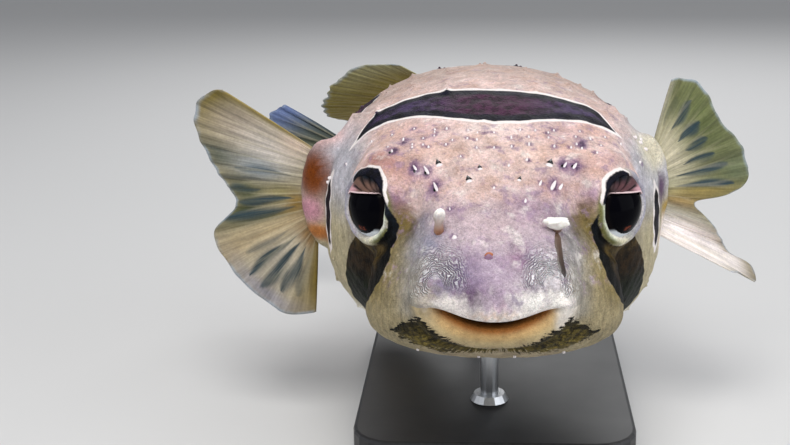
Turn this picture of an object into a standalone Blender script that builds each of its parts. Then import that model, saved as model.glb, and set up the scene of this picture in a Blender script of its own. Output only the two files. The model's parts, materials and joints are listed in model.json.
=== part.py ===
"""A black-blotched porcupinefish, life size, swimming level on a plain display stand.

Metres, +Z up. The origin is the middle of the stand's underside and the head points along -Y.
The fish is designed in its own straight frame, in millimetres for a body 328 long: x to the
fish's left, y backwards and z up from the point midway between the eyes. bent() then swings
the rear of the body round an arc and puts it on its stand.
"""

import math

import bmesh
import bpy
from mathutils import Matrix, Vector

# Driving sizes
STANDARD_LENGTH = 0.328  # snout to the root of the tail fin
DESIGN_LENGTH = 328.0  # the same length in the units of the tables below
SCALE = STANDARD_LENGTH / DESIGN_LENGTH
EYES_MIDPOINT = Vector((0.0, -0.105, 0.118))  # where the straight frame's origin stands
BEND_START = 112.0  # how far behind the eyes the tail begins to swing
BEND_RADIUS = 122.0
SWAY = 5.0  # how far the trunk leans to the right before that
SWAY_START = 25.0
SWAY_REACH = 60.0
GAP = 0.35  # clearance between neighbouring pieces

# Body outline: one row for each station from the mouth back to the tail root.
# name, back (y, z), flank (x, y, z), underside (y, z), fullness above and below the flank
STATIONS = (
    ("throat", (-36.1, -24.6), (0, -36.1, -24.6), (-36.1, -24.6), 2, 2),
    ("gape", (-46.4, -24.2), (14, -38.7, -22.3), (-45.6, -27), 2, 2),
    ("lip_edge", (-51.3, -24.5), (17.5, -40.9, -22.4), (-49.4, -29.2), 2, 2),
    ("lip_crest", (-52.5, -20.8), (22.5, -39.6, -22.2), (-49.4, -33.7), 2, 2.2),
    ("lip_base", (-50.7, -15.7), (29.0, -35.7, -23.6), (-45.6, -38.5), 2.1, 2.4),
    ("snout", (-46.9, -10.5), (36.5, -29.7, -25.3), (-39.6, -42.7), 2.1, 2.6),
    ("nose", (-39.6, -4.7), (42, -21.5, -27.9), (-31.8, -46.9), 2.2, 2.8),
    ("cheek", (-28.4, 3.8), (46, -12, -29.5), (-21.5, -50.4), 2.3, 3),
    ("fore_eye", (-14.6, 12.9), (48, -2.6, -28.1), (-8.6, -53.4), 2.6, 3),
    ("eye", (-0.9, 21.5), (51, 8, -24), (6, -57), 3.2, 2.9),
    ("hind_eye", (16, 28.5), (58, 22, -19), (24, -62.5), 3, 2.8),
    ("nape", (36, 35), (66, 39, -16), (46, -68.5), 2.55, 2.7),
    ("shoulder", (60, 40), (71, 60, -15), (70, -73.5), 2.16, 2.6),
    ("middle", (90, 40), (70.5, 90, -15), (98, -75.5), 2.08, 2.5),
    ("loin", (125, 34), (63.5, 125, -16), (128, -70), 2.3, 2.4),
    ("rump", (160, 20), (49, 160, -20), (160, -58), 2.2, 2.2),
    ("vent", (192, 6), (33, 192, -24.5), (190, -47), 2.1, 2.1),
    ("stalk", (222, -10), (17.5, 222, -29), (219, -42), 2, 2),
    ("tail_root", (250, -19), (9.5, 250, -31), (250, -43), 2, 2),
    ("tail_end", (266, -31), (0, 266, -31), (266, -31), 2, 2),
)

# Hollows and swellings laid over the outline, alike on both sides.
# middle (x, y, z), reach (x, y, z), push (x, y, z)
SHAPING = (
    ("brow", (42, 3, 15), (15, 16, 11), (7, -3, 3)),
    ("eye_hollow", (33, -12, 1.5), (9, 13, 15), (-4, 3, -1)),
    ("cheek_bar", (50, 4, -20), (12, 9, 19), (-4, 3, 0)),
    ("jowl", (44, -15, -38), (14, 16, 12), (2.5, -2, -0.5)),
    ("mouth_corner", (24, -39, -22), (6.5, 7, 7), (2, -2.5, 0.5)),
    ("corner_fold", (33, -30, -15), (6, 8, 8), (-2, 1, 0)),
)

# Eyes: the ball's middle, and the way the pupil looks
EYE_MIDDLE = Vector((41.8, 4.3, 0.7))
EYE_RADIUS = 13.6
EYE_LOOK = Vector((0.743, -0.665, 0.08)).normalized()
EYE_RIM_RADIUS = 12.4  # of the ring of skin round the eye
EYE_RIM_OUT = 7.8  # how far that ring stands from the ball's middle
EYE_RIM_THICK = 1.7
EYE_SLEEVE = (-12.0, 17.8, 13.6)  # flesh behind the ring: where it starts, its two radii
EYE_SLEEVE_LOW = 0.6  # how far the sleeve's top stays below the ring's middle

# Nose: a short flared tentacle on each side
NOSE_FOOT = Vector((20.5, -27.0, 2.0))
NOSE_AIM = Vector((0.2, -0.86, 0.47)).normalized()
NOSE_SIZES = ((2.4, 2.6), (2.0, 2.2), (3.6, 1.8))  # half width and depth at root, waist, rim
NOSE_HEIGHT = 6.5
NOSE_DEPTH = 2.0  # of its root under the skin

# Fins. Each row is one ray in so many: share of the way along the root, tilt and sweep in
# degrees, length. fan() says how a fin's three directions use the tilt and the sweep.
FIN_THICK = 0.9
RAY_RIDGE = 0.7  # how far a ray stands out of the membrane
RAY_SCALLOP = 0.018  # how far a ray's tip stands past the membrane's edge, as a share
PECTORAL_LOBE_MIDDLE = {"right": Vector((-69.0, 60.0, -9.0)), "left": Vector((63.0, 62.0, -7.0))}
PECTORAL_LOBE = Vector((11.0, 9.0, 23.5))
PECTORAL_ROOT = Vector((9.5, 1.5, 21.6))  # half size of the arc the fin's rays start from
PECTORAL_ARC = 62.0  # degrees that arc runs above and below level
RIGHT_PECTORAL_RAYS = (
    (0.00, 33, 6, 46), (0.09, 25, 10, 54), (0.24, 12, 14, 49), (0.43, 0, 16, 37),
    (0.56, -9, 14, 32), (0.66, -17, 8, 44), (0.77, -33, 6, 42), (0.87, -51, 6, 39),
    (0.95, -70, 8, 37), (1.00, -86, 10, 31),
)
LEFT_PECTORAL_RAYS = (
    (0.00, 76, 4, 27), (0.10, 61, 8, 32), (0.25, 35, 14, 34), (0.42, 12, 20, 41),
    (0.51, -3, 20, 38), (0.60, -14, 20, 15), (0.70, -29, 28, 33), (0.82, -33, 34, 51),
    (0.92, -33, 8, 48), (1.00, -30, -16, 32),
)
TAIL_RAYS = (
    (0.00, 29, 0, 42), (0.16, 23, 2, 48), (0.50, 0, 3, 52), (0.84, -23, 2, 48), (1.00, -29, 0, 42),
)
DORSAL_RAYS = (
    (0.00, 60, 0, 36), (0.14, 68, 8, 53), (0.42, 78, 18, 62), (0.72, 86, 30, 60),
    (0.92, 91, 42, 48), (1.00, 92, 52, 32),
)
ANAL_RAYS = (
    (0.00, 22, 4, 30), (0.14, 27, 14, 44), (0.42, 33, 26, 50), (0.72, 38, 38, 47),
    (0.92, 40, 50, 36), (1.00, 40, 58, 24),
)
DORSAL_ROOT = (168.0, 204.0)
ANAL_ROOT = (172.0, 204.0)
RIDGE_DEPTH = 3.5  # of the dorsal and anal fins' roots under the skin
TAIL_ROOT = (253.0, -23.0, -39.5)

# Where the body is parted, and its lowest line of the mouth
JAW_CUT = -32.0
NECK_CUT = 45.0
STALK_CUT = 205.0
BACK_CUT = -20.0
MOUTH_LINE = -25.9
MOUTH_RISE = 3.2  # the line's rise to the corners of the mouth
MOUTH_HALF = 21.5

# Spines, folded back along the trunk: rows (stations) and how many stand round each
SPINE_ROWS = 6
SPINE_FIRST = 11.75
SPINE_STEP = 0.55
SPINE_ROUND = 14
SPINE_LENGTH = 19.0
SPINE_THICK = 1.1
SPINE_TIP = 0.25
SPINE_LIFT = math.radians(13.5)
SPINE_DEPTH = 1.6  # of the root under the skin
SPINE_CLEAR = 5.0  # from a parting line
LOBE_CLEAR = 31.0  # from the middle of a pectoral lobe
ROD_CLEAR = 17.0  # from the tops of the stand's rods

# Display stand
BASE_SIZE = Vector((0.120, 0.165, 0.012))
BASE_CORNER = 0.018
BASE_EDGE = 0.0015  # bevel round its top
ROD_RADIUS = 0.004
ROD_FOOT_RADIUS = 0.0085
ROD_FOOT_HEIGHT = 0.003
ROD_STOCK = 0.08  # length before the belly's shape is cut from its top
ROD_PLACES = {"front": (-0.002, -0.035), "rear": (-0.008, 0.048)}


# ---------------------------------------------------------------- shape of the fish

def smooth_value(values, u):
    """A smooth curve through four values, at u from the second to the third."""
    a, b, c, d = values
    return b + 0.5 * u * (c - a + u * (2 * a - 5 * b + 4 * c - d + u * (3 * (b - c) + d - a)))


def rails(t):
    """The back, flank and underside lines and the two fullnesses, t stations from the mouth."""
    last = len(STATIONS) - 1
    start = min(int(t), last - 1)
    rows = [STATIONS[min(max(start + step, 0), last)] for step in (-1, 0, 1, 2)]
    flat = [(*row[1], *row[2], *row[3], row[4], row[5]) for row in rows]
    return [smooth_value(column, t - start) for column in zip(*flat)]


def shaped(point):
    """The point after the hollows and swellings have moved it."""
    side = math.copysign(1.0, point.x)
    moved = Vector(point)
    for _, middle, reach, push in SHAPING:
        off = [(abs(point.x) - middle[0]) / reach[0],
               (point.y - middle[1]) / reach[1],
               (point.z - middle[2]) / reach[2]]
        strength = math.exp(-sum(value * value for value in off))
        moved += strength * Vector((side * push[0], push[1], push[2]))
    return moved


def straight_point(t, angle):
    """A point of the straight body: angle runs from the left flank over the back."""
    y_back, z_back, x_flank, y_flank, z_flank, y_under, z_under, full_up, full_low = rails(t)
    cosine, sine = math.cos(angle), math.sin(angle)
    y_end, z_end, full = (y_back, z_back, full_up) if sine > 0 else (y_under, z_under, full_low)
    across = math.copysign(abs(cosine) ** (2 / full), cosine)
    upright = abs(sine) ** (2 / full)
    return shaped(Vector((
        x_flank * across,
        y_flank + (y_end - y_flank) * sine * sine,
        z_flank + (z_end - z_flank) * upright,
    )))


def heading(y):
    """How far the body has turned towards its right at y."""
    return max(0.0, y - BEND_START) / BEND_RADIUS


def bent(point):
    """A point of the straight frame on the posed fish, in metres."""
    turn = heading(point.y)
    x, y = 0.0, point.y
    if turn > 0:
        x = -BEND_RADIUS * (1 - math.cos(turn))
        y = BEND_START + BEND_RADIUS * math.sin(turn)
    lean = max(0.0, point.y - SWAY_START) / SWAY_REACH
    x -= SWAY * (1 - math.exp(-lean * lean))
    x += point.x * math.cos(turn)
    y += point.x * math.sin(turn)
    return EYES_MIDPOINT + SCALE * Vector((x, y, point.z))


# ---------------------------------------------------------------- making objects

def material(name, colour, roughness, metallic=0.0):
    made = bpy.data.materials.new(name)
    made.use_nodes = True
    made.diffuse_color = (*colour, 1.0)
    shader = made.node_tree.nodes["Principled BSDF"]
    shader.inputs["Base Color"].default_value = (*colour, 1.0)
    shader.inputs["Roughness"].default_value = roughness
    shader.inputs["Metallic"].default_value = metallic
    return made


def add_object(name, bm, finish=None):
    """The bmesh as an object of the scene, shaded smooth."""
    bmesh.ops.recalc_face_normals(bm, faces=bm.faces)
    if bm.calc_volume(signed=True) < 0:
        bmesh.ops.reverse_faces(bm, faces=bm.faces)
    mesh = bpy.data.meshes.new(name)
    bm.to_mesh(mesh)
    bm.free()
    mesh.shade_smooth()
    mesh.set_sharp_from_angle(angle=math.radians(50))
    if finish:
        mesh.materials.append(finish)
    made = bpy.data.objects.new(name, mesh)
    bpy.context.scene.collection.objects.link(made)
    return made


def as_helper(made):
    made.hide_render = True
    made.display_type = "WIRE"
    return made


def boolean(target, cutter, operation):
    """Joins, cuts or keeps what the two meshes share, and leaves the result in target."""
    modifier = target.modifiers.new(operation.title(), "BOOLEAN")
    modifier.operation = operation
    modifier.object = cutter
    bpy.context.view_layer.update()
    graph = bpy.context.evaluated_depsgraph_get()
    result = bpy.data.meshes.new_from_object(target.evaluated_get(graph))
    target.modifiers.remove(modifier)
    target.data = result


def copy_of(source, name):
    made = source.copy()
    made.data = source.data.copy()
    made.name = name
    bpy.context.scene.collection.objects.link(made)
    return made


def swollen(source, name, by):
    """A helper copy of source whose surface stands by millimetres further out."""
    made = as_helper(copy_of(source, name))
    normals = [vertex.normal.copy() for vertex in made.data.vertices]
    for vertex, normal in zip(made.data.vertices, normals):
        vertex.co += normal * by * SCALE
    return made


# ---------------------------------------------------------------- the body, whole

RINGS = 2  # rings of vertices for each station
AROUND = 36


def body_mesh():
    """The whole body as one closed skin, its poles in the mouth and at the tail root."""
    steps = (len(STATIONS) - 1) * RINGS
    bm = bmesh.new()
    bmesh.ops.create_uvsphere(bm, u_segments=AROUND, v_segments=steps, radius=1.0)
    for vertex in bm.verts:
        latitude = math.acos(max(-1.0, min(1.0, vertex.co.z)))
        angle = math.atan2(vertex.co.y, vertex.co.x)
        vertex.co = bent(straight_point(latitude / math.pi * steps / RINGS, angle))
    return bm


def block(name, low, high):
    """A helper box between two corners of the straight frame, carried along with the pose."""
    bm = bmesh.new()
    bmesh.ops.create_cube(bm, size=1.0)
    for vertex in bm.verts:
        share = vertex.co + Vector((0.5, 0.5, 0.5))
        vertex.co = bent(Vector([a + (b - a) * part for a, b, part in zip(low, high, share)]))
    return as_helper(add_object(name, bm))


def half_space(name, z_low, z_high):
    """A helper box that holds everything of the fish between two heights."""
    bm = bmesh.new()
    bmesh.ops.create_cube(bm, size=1.0)
    for vertex in bm.verts:
        z = z_high if vertex.co.z > 0 else z_low
        vertex.co = EYES_MIDPOINT + SCALE * Vector((vertex.co.x * 500, vertex.co.y * 700 + 100, z))
    return as_helper(add_object(name, bm))


def mouth_block(name, offset, height):
    """A helper box whose one side follows the smiling line of the mouth."""
    bm = bmesh.new()
    bmesh.ops.create_grid(bm, x_segments=12, y_segments=1, size=0.5)
    for vertex in bm.verts:
        x = vertex.co.x * 100
        rise = MOUTH_RISE * (min(abs(x), MOUTH_HALF) / MOUTH_HALF) ** 2
        vertex.co = bent(Vector((x, -50 + vertex.co.y * 60, MOUTH_LINE + rise + offset)))
    grown = bmesh.ops.extrude_face_region(bm, geom=list(bm.faces))["geom"]
    for element in grown:
        if isinstance(element, bmesh.types.BMVert):
            element.co.z += height * SCALE
    return as_helper(add_object(name, bm))


def kept(source, name, cutters, operation="INTERSECT"):
    """A new piece: the source cut by each cutter in turn."""
    made = copy_of(source, name)
    made.hide_render = False
    for cutter in cutters:
        boolean(made, cutter, operation)
    return made


def skin_frame(t, angle):
    """A point of the straight skin, the way back along it and its outward direction."""
    step = 0.02
    here = straight_point(t, angle)
    back = (straight_point(t + step, angle) - here).normalized()
    around = (straight_point(t, angle + step) - here).normalized()
    return here, back, around.cross(back).normalized()


def spine_places():
    """(t, angle) of every spine: staggered rows round the trunk, clear of fins and partings."""
    for row in range(SPINE_ROWS):
        for number in range(SPINE_ROUND):
            t = SPINE_FIRST + row * SPINE_STEP
            angle = (number + 0.5 * (row % 2)) * math.tau / SPINE_ROUND
            here, back, _ = skin_frame(t, angle)
            lobes = [PECTORAL_LOBE_MIDDLE[word] - SPINE_LENGTH / 2 * back for word in ("left", "right")]
            if abs(here.z - BACK_CUT) < SPINE_CLEAR:
                continue
            middle = bent(here + SPINE_LENGTH / 2 * back)
            rods = [math.hypot(middle.x - x, middle.y - y) for x, y in ROD_PLACES.values()]
            if here.z < BACK_CUT and min(rods) < ROD_CLEAR * SCALE:
                continue
            if min((here - lobe).length for lobe in lobes) > LOBE_CLEAR:
                yield t, angle


def spines(name, above):
    """A helper that holds the spines rooted above or below the parting of back and belly."""
    bm = bmesh.new()
    for t, angle in spine_places():
        here, back, outward = skin_frame(t, angle)
        if (here.z > BACK_CUT) != above:
            continue
        way = math.cos(SPINE_LIFT) * back + math.sin(SPINE_LIFT) * outward
        foot = bent(here - SPINE_DEPTH * outward)
        tip = bent(here - SPINE_DEPTH * outward + SPINE_LENGTH * way)
        along = tip - foot
        turned = along.to_track_quat("Z", "Y").to_matrix().to_4x4()
        bmesh.ops.create_cone(bm, cap_ends=True, segments=4, radius1=SPINE_THICK * SCALE,
                              radius2=SPINE_TIP * SCALE, depth=along.length,
                              matrix=Matrix.Translation((foot + tip) / 2) @ turned)
    return as_helper(add_object(name, bm))


def mirrored(point, side):
    return Vector((side * point.x, point.y, point.z))


def ball(name, middle, radius, finish=None):
    bm = bmesh.new()
    placed = Matrix.Translation(bent(middle))
    bmesh.ops.create_uvsphere(bm, u_segments=16, v_segments=9, radius=radius * SCALE,
                              matrix=placed)
    return add_object(name, bm, finish)


def eye_rim(name, side):
    """A helper ring for the raised skin round one eye."""
    middle = bent(mirrored(EYE_MIDDLE + EYE_RIM_OUT * EYE_LOOK, side))
    turned = mirrored(EYE_LOOK, side).to_track_quat("Z", "Y").to_matrix().to_4x4()
    bpy.ops.mesh.primitive_torus_add(major_segments=22, minor_segments=6,
                                     major_radius=EYE_RIM_RADIUS * SCALE,
                                     minor_radius=EYE_RIM_THICK * SCALE)
    made = bpy.context.active_object
    made.name = name
    made.data.transform(Matrix.Translation(middle) @ turned)
    return as_helper(made)


def eye_sleeve(name, side):
    """A helper frustum of flesh that carries the ring and hides the sides of the eyeball."""
    start, wide, narrow = EYE_SLEEVE
    foot = bent(mirrored(EYE_MIDDLE + start * EYE_LOOK, side))
    top = bent(mirrored(EYE_MIDDLE + (EYE_RIM_OUT - EYE_SLEEVE_LOW) * EYE_LOOK, side))
    turned = (top - foot).to_track_quat("Z", "Y").to_matrix().to_4x4()
    bm = bmesh.new()
    bmesh.ops.create_cone(bm, cap_ends=True, segments=20, radius1=wide * SCALE,
                          radius2=narrow * SCALE, depth=(top - foot).length,
                          matrix=Matrix.Translation((foot + top) / 2) @ turned)
    return as_helper(add_object(name, bm))


def nose_tentacle(name, side, cutter, finish):
    """A short flared tentacle, its rim spread across the snout."""
    bm = bmesh.new()
    bmesh.ops.create_uvsphere(bm, u_segments=10, v_segments=6, radius=1.0)
    foot, aim = mirrored(NOSE_FOOT, side), mirrored(NOSE_AIM, side)
    across = aim.cross(Vector((0, 0, 1))).normalized()
    deep = across.cross(aim)
    root, waist, rim = NOSE_SIZES
    for vertex in bm.verts:
        share = math.acos(max(-1.0, min(1.0, -vertex.co.z))) / math.pi
        ring = max(1e-6, math.hypot(vertex.co.x, vertex.co.y))
        half_width, half_depth = [smooth_value((root[i], waist[i], rim[i], rim[i]), share)
                                  for i in (0, 1)]
        close = min(1.0, 5 * share, 5 * (1 - share)) ** 0.5
        place = foot + aim * (NOSE_HEIGHT * share - NOSE_DEPTH)
        place += across * (vertex.co.x / ring * half_width * close)
        place += deep * (vertex.co.y / ring * half_depth * close)
        vertex.co = bent(place)
    made = add_object(name, bm, finish)
    boolean(made, cutter, "DIFFERENCE")


# ---------------------------------------------------------------- fins

def along_rows(rows, share):
    """The smooth tilt, sweep and length of the ray that starts at this share of the root."""
    k = 0
    while k < len(rows) - 2 and rows[k + 1][0] <= share:
        k += 1
    u = (share - rows[k][0]) / (rows[k + 1][0] - rows[k][0])
    near = [rows[min(max(k + step, 0), len(rows) - 1)][1:] for step in (-1, 0, 1, 2)]
    return [smooth_value(column, u) for column in zip(*near)]


def fan(name, rows, root, out, back, across, rays, rings, curl, finish):
    """A fin: rays leave root(share) along out, tilted towards across and swept towards back.

    The membrane is drawn in between the rays, so that each ray stands as a ridge on one side
    and a furrow on the other. The fin is one closed sheet FIN_THICK thick.
    """
    bm = bmesh.new()
    columns = 2 * rays
    bmesh.ops.create_grid(bm, x_segments=columns, y_segments=rings, size=0.5)
    for vertex in bm.verts:
        share, reach = vertex.co.x + 0.5, vertex.co.y + 0.5
        tilt, sweep, length = along_rows(rows, share)
        tilt, sweep = math.radians(tilt), math.radians(sweep)
        level = math.cos(tilt) * out + math.sin(tilt) * across
        ray = math.cos(sweep) * level + math.sin(sweep) * back
        flat = math.cos(sweep) * back - math.sin(sweep) * level
        wave = math.cos(math.pi * columns * share)
        ridge = RAY_RIDGE * wave * min(1.0, 2 * reach)
        scallop = 1.0 + RAY_SCALLOP * wave * reach
        place = root(share) + ray * length * reach * scallop
        vertex.co = bent(place + flat * (ridge + curl * reach * reach))
    made = add_object(name, bm, finish)
    thick = made.modifiers.new("Thickness", "SOLIDIFY")
    thick.thickness = FIN_THICK * SCALE
    thick.offset = 0.0
    thick.use_even_offset = False
    return made


def baked(made):
    """The object with its modifiers made part of its mesh."""
    bpy.context.view_layer.update()
    graph = bpy.context.evaluated_depsgraph_get()
    result = bpy.data.meshes.new_from_object(made.evaluated_get(graph))
    made.modifiers.clear()
    made.data = result
    return made


def ridge_root(start, end, side):
    """The root line of a fin that stands on the middle of the back (side 1) or belly (-1)."""
    def root(share):
        y = start + (end - start) * share
        column = 0 if side > 0 else 5
        low, high = 0.0, float(len(STATIONS) - 1)
        for _ in range(30):
            middle = (low + high) / 2
            if rails(middle)[column] < y:
                low = middle
            else:
                high = middle
        return Vector((0.0, y, rails(low)[column + 1] - side * RIDGE_DEPTH))
    return root


def pectoral(word, rays, body_cutter, lobe_finish, fin_finish):
    """One pectoral fin and the fleshy lobe that carries it."""
    bm = bmesh.new()
    bmesh.ops.create_uvsphere(bm, u_segments=12, v_segments=10, radius=1.0)
    middle = PECTORAL_LOBE_MIDDLE[word]
    side = math.copysign(1.0, middle.x)
    for vertex in bm.verts:
        vertex.co = bent(middle + vertex.co * PECTORAL_LOBE)
    lobe = add_object("pectoral_lobe_" + word, bm, lobe_finish)
    lobe_cutter = swollen(lobe, "lobe_cutter_" + word, GAP)

    def root(share):
        turn = math.radians(PECTORAL_ARC * (1 - 2 * share))
        return middle + Vector((side * PECTORAL_ROOT.x * math.cos(turn), PECTORAL_ROOT.y,
                                PECTORAL_ROOT.z * math.sin(turn)))

    fin = baked(fan("pectoral_fin_" + word, rays, root, Vector((side, 0, 0)),
                    Vector((0, 1, 0)), Vector((0, 0, 1)), 10, 4, -1.5, fin_finish))
    boolean(fin, lobe_cutter, "DIFFERENCE")
    boolean(fin, body_cutter, "DIFFERENCE")
    boolean(lobe, body_cutter, "DIFFERENCE")


# ---------------------------------------------------------------- display stand

def stand(cutter, base_finish, rod_finish):
    """A flat base with rounded corners, and two rods whose tops follow the belly."""
    bm = bmesh.new()
    bmesh.ops.create_cube(bm, size=1.0)
    for vertex in bm.verts:
        vertex.co = vertex.co * BASE_SIZE + Vector((0, 0, BASE_SIZE.z / 2))
    upright = [edge for edge in bm.edges if abs(edge.verts[0].co.z - edge.verts[1].co.z) > 0.001]
    bmesh.ops.bevel(bm, geom=upright, offset=BASE_CORNER, offset_type="OFFSET", segments=5,
                    profile=0.5, affect="EDGES", material=-1)
    rims = [edge for edge in bm.edges
            if edge.verts[0].co.z > BASE_SIZE.z / 2 and edge.verts[1].co.z > BASE_SIZE.z / 2]
    bmesh.ops.bevel(bm, geom=rims, offset=BASE_EDGE, offset_type="OFFSET", segments=2,
                    profile=0.5, affect="EDGES", material=-1)
    add_object("stand_base", bm, base_finish)
    bottom = BASE_SIZE.z + GAP * SCALE
    for word, (x, y) in ROD_PLACES.items():
        bm = bmesh.new()
        bmesh.ops.create_cone(bm, cap_ends=True, segments=18, radius1=ROD_RADIUS,
                              radius2=ROD_RADIUS, depth=ROD_STOCK,
                              matrix=Matrix.Translation((x, y, bottom + ROD_STOCK / 2)))
        rod = add_object("stand_rod_" + word, bm, rod_finish)
        bm = bmesh.new()
        bmesh.ops.create_cone(bm, cap_ends=True, segments=20, radius1=ROD_FOOT_RADIUS,
                              radius2=ROD_FOOT_RADIUS * 0.8, depth=ROD_FOOT_HEIGHT,
                              matrix=Matrix.Translation((x, y, bottom + ROD_FOOT_HEIGHT / 2)))
        foot = as_helper(add_object("foot_" + word, bm))
        boolean(rod, foot, "UNION")
        boolean(rod, cutter, "DIFFERENCE")


# ---------------------------------------------------------------- build

def build():
    for old in list(bpy.data.objects):
        bpy.data.objects.remove(old)
    skin = material("skin", (0.62, 0.50, 0.42), 0.45)
    fin = material("fin", (0.55, 0.53, 0.30), 0.40)
    eye = material("eye", (0.02, 0.015, 0.015), 0.10)
    nose = material("nose", (0.72, 0.55, 0.42), 0.45)
    painted = material("stand_paint", (0.05, 0.05, 0.055), 0.50)
    steel = material("stand_steel", (0.62, 0.63, 0.65), 0.30, 1.0)
    body = as_helper(add_object("body", body_mesh(), skin))
    cutter = swollen(body, "body_cutter", GAP)
    gap = GAP / 2

    front = kept(body, "front", [block("front_block", (-90, -90, -120), (90, JAW_CUT - gap, 90))])
    as_helper(front)
    kept(front, "upper_jaw", [mouth_block("upper_block", gap, 100)])
    kept(front, "lower_jaw", [mouth_block("lower_block", -gap, -100)])

    head = kept(body, "head", [block("head_block", (-90, JAW_CUT + gap, -120),
                                     (90, NECK_CUT - gap, 90))])
    for side, word in ((-1, "right"), (1, "left")):
        middle = mirrored(EYE_MIDDLE, side)
        boolean(head, eye_sleeve("eye_sleeve_" + word, side), "UNION")
        boolean(head, eye_rim("eye_rim_" + word, side), "UNION")
        socket = as_helper(ball("socket_" + word, middle, EYE_RADIUS + GAP))
        boolean(head, socket, "DIFFERENCE")
        ball("eye_" + word, middle, EYE_RADIUS, eye)
        nose_tentacle("nose_tentacle_" + word, side, cutter, nose)

    ends = [block("fore_block", (-110, -90, -120), (110, NECK_CUT + gap, 90)),
            block("hind_block", (-60, STALK_CUT - gap, -120), (60, 300, 90))]
    trunk = as_helper(kept(body, "trunk", ends, "DIFFERENCE"))
    back = kept(trunk, "back", [half_space("back_block", BACK_CUT + gap, 150)])
    boolean(back, spines("back_spines", True), "UNION")
    belly = kept(trunk, "belly", [half_space("belly_block", -150, BACK_CUT - gap)])
    boolean(belly, spines("belly_spines", False), "UNION")
    kept(body, "tail_stalk", [block("stalk_block", (-60, STALK_CUT + gap, -120), (60, 300, 90))])

    pectoral("right", RIGHT_PECTORAL_RAYS, cutter, skin, fin)
    pectoral("left", LEFT_PECTORAL_RAYS, cutter, skin, fin)
    for name, rows, ends, side in (("dorsal_fin", DORSAL_RAYS, DORSAL_ROOT, 1),
                                   ("anal_fin", ANAL_RAYS, ANAL_ROOT, -1)):
        made = baked(fan(name, rows, ridge_root(*ends, side), Vector((0, 0, side)),
                         Vector((0, 1, 0)), Vector((-1, 0, 0)), 7, 3, 0.0, fin))
        boolean(made, cutter, "DIFFERENCE")

    def tail_root(share):
        return Vector((0.0, TAIL_ROOT[0], TAIL_ROOT[1] + (TAIL_ROOT[2] - TAIL_ROOT[1]) * share))

    tail = baked(fan("tail_fin", TAIL_RAYS, tail_root, Vector((0, 1, 0)), Vector((-1, 0, 0)),
                     Vector((0, 0, 1)), 7, 4, 3.0, fin))
    boolean(tail, cutter, "DIFFERENCE")
    stand(cutter, painted, steel)


build()
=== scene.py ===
"""Looks of a life-size black-blotched porcupinefish on a plain display stand.

The fish is shaped in its own straight frame, in millimetres: x to its left, y backwards and
z up from the point midway between its eyes. bent() swings the tail round and sets the fish on
its stand, in metres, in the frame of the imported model.
"""

import json
import math
import random

import bmesh
import bpy
import numpy as np
from mathutils import Matrix, Vector

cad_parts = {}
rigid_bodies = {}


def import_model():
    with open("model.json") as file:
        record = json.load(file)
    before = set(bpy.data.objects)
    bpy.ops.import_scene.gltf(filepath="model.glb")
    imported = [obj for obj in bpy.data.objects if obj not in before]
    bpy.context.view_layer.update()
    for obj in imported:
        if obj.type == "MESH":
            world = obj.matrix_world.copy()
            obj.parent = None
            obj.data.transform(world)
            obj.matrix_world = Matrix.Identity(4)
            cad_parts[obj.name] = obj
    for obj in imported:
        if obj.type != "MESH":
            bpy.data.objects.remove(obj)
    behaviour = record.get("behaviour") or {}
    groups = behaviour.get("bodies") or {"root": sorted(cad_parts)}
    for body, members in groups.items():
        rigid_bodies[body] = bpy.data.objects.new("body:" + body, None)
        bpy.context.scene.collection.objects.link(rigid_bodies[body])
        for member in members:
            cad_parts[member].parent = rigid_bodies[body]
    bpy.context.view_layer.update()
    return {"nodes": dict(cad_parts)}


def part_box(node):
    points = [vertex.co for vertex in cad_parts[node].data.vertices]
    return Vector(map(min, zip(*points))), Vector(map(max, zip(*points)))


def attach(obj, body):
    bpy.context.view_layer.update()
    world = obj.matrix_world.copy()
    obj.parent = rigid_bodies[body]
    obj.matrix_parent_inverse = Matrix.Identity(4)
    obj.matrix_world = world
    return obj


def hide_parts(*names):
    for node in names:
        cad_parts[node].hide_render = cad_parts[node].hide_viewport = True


for spare in list(bpy.data.objects):
    bpy.data.objects.remove(spare)
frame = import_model()

# ---------------------------------------------------------------- sizes of the fish

MM = 0.001
SIDES = (("right", -1.0), ("left", 1.0))
EYE_MIDDLE = Vector((41.8, 4.3, 0.7))
EYE_RADIUS = 13.6
EYE_LOOK = Vector((0.743, -0.665, 0.08)).normalized()
EYE_SNOUTWARD = Vector((EYE_LOOK.y, -EYE_LOOK.x, 0.0)).normalized()
EYE_UP = EYE_SNOUTWARD.cross(EYE_LOOK)


def middle_of(node):
    low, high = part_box(node)
    return (low + high) / 2


EYES_MIDPOINT = (middle_of("eye_right") + middle_of("eye_left")) / 2
EYES_MIDPOINT -= MM * Vector((0.0, EYE_MIDDLE.y, EYE_MIDDLE.z))

BEND_START = 112.0  # how far behind the eyes the tail begins to swing
BEND_RADIUS = 122.0
SWAY = 5.0  # how far the trunk leans to the right before that
SWAY_START = 25.0
SWAY_REACH = 60.0

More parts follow.
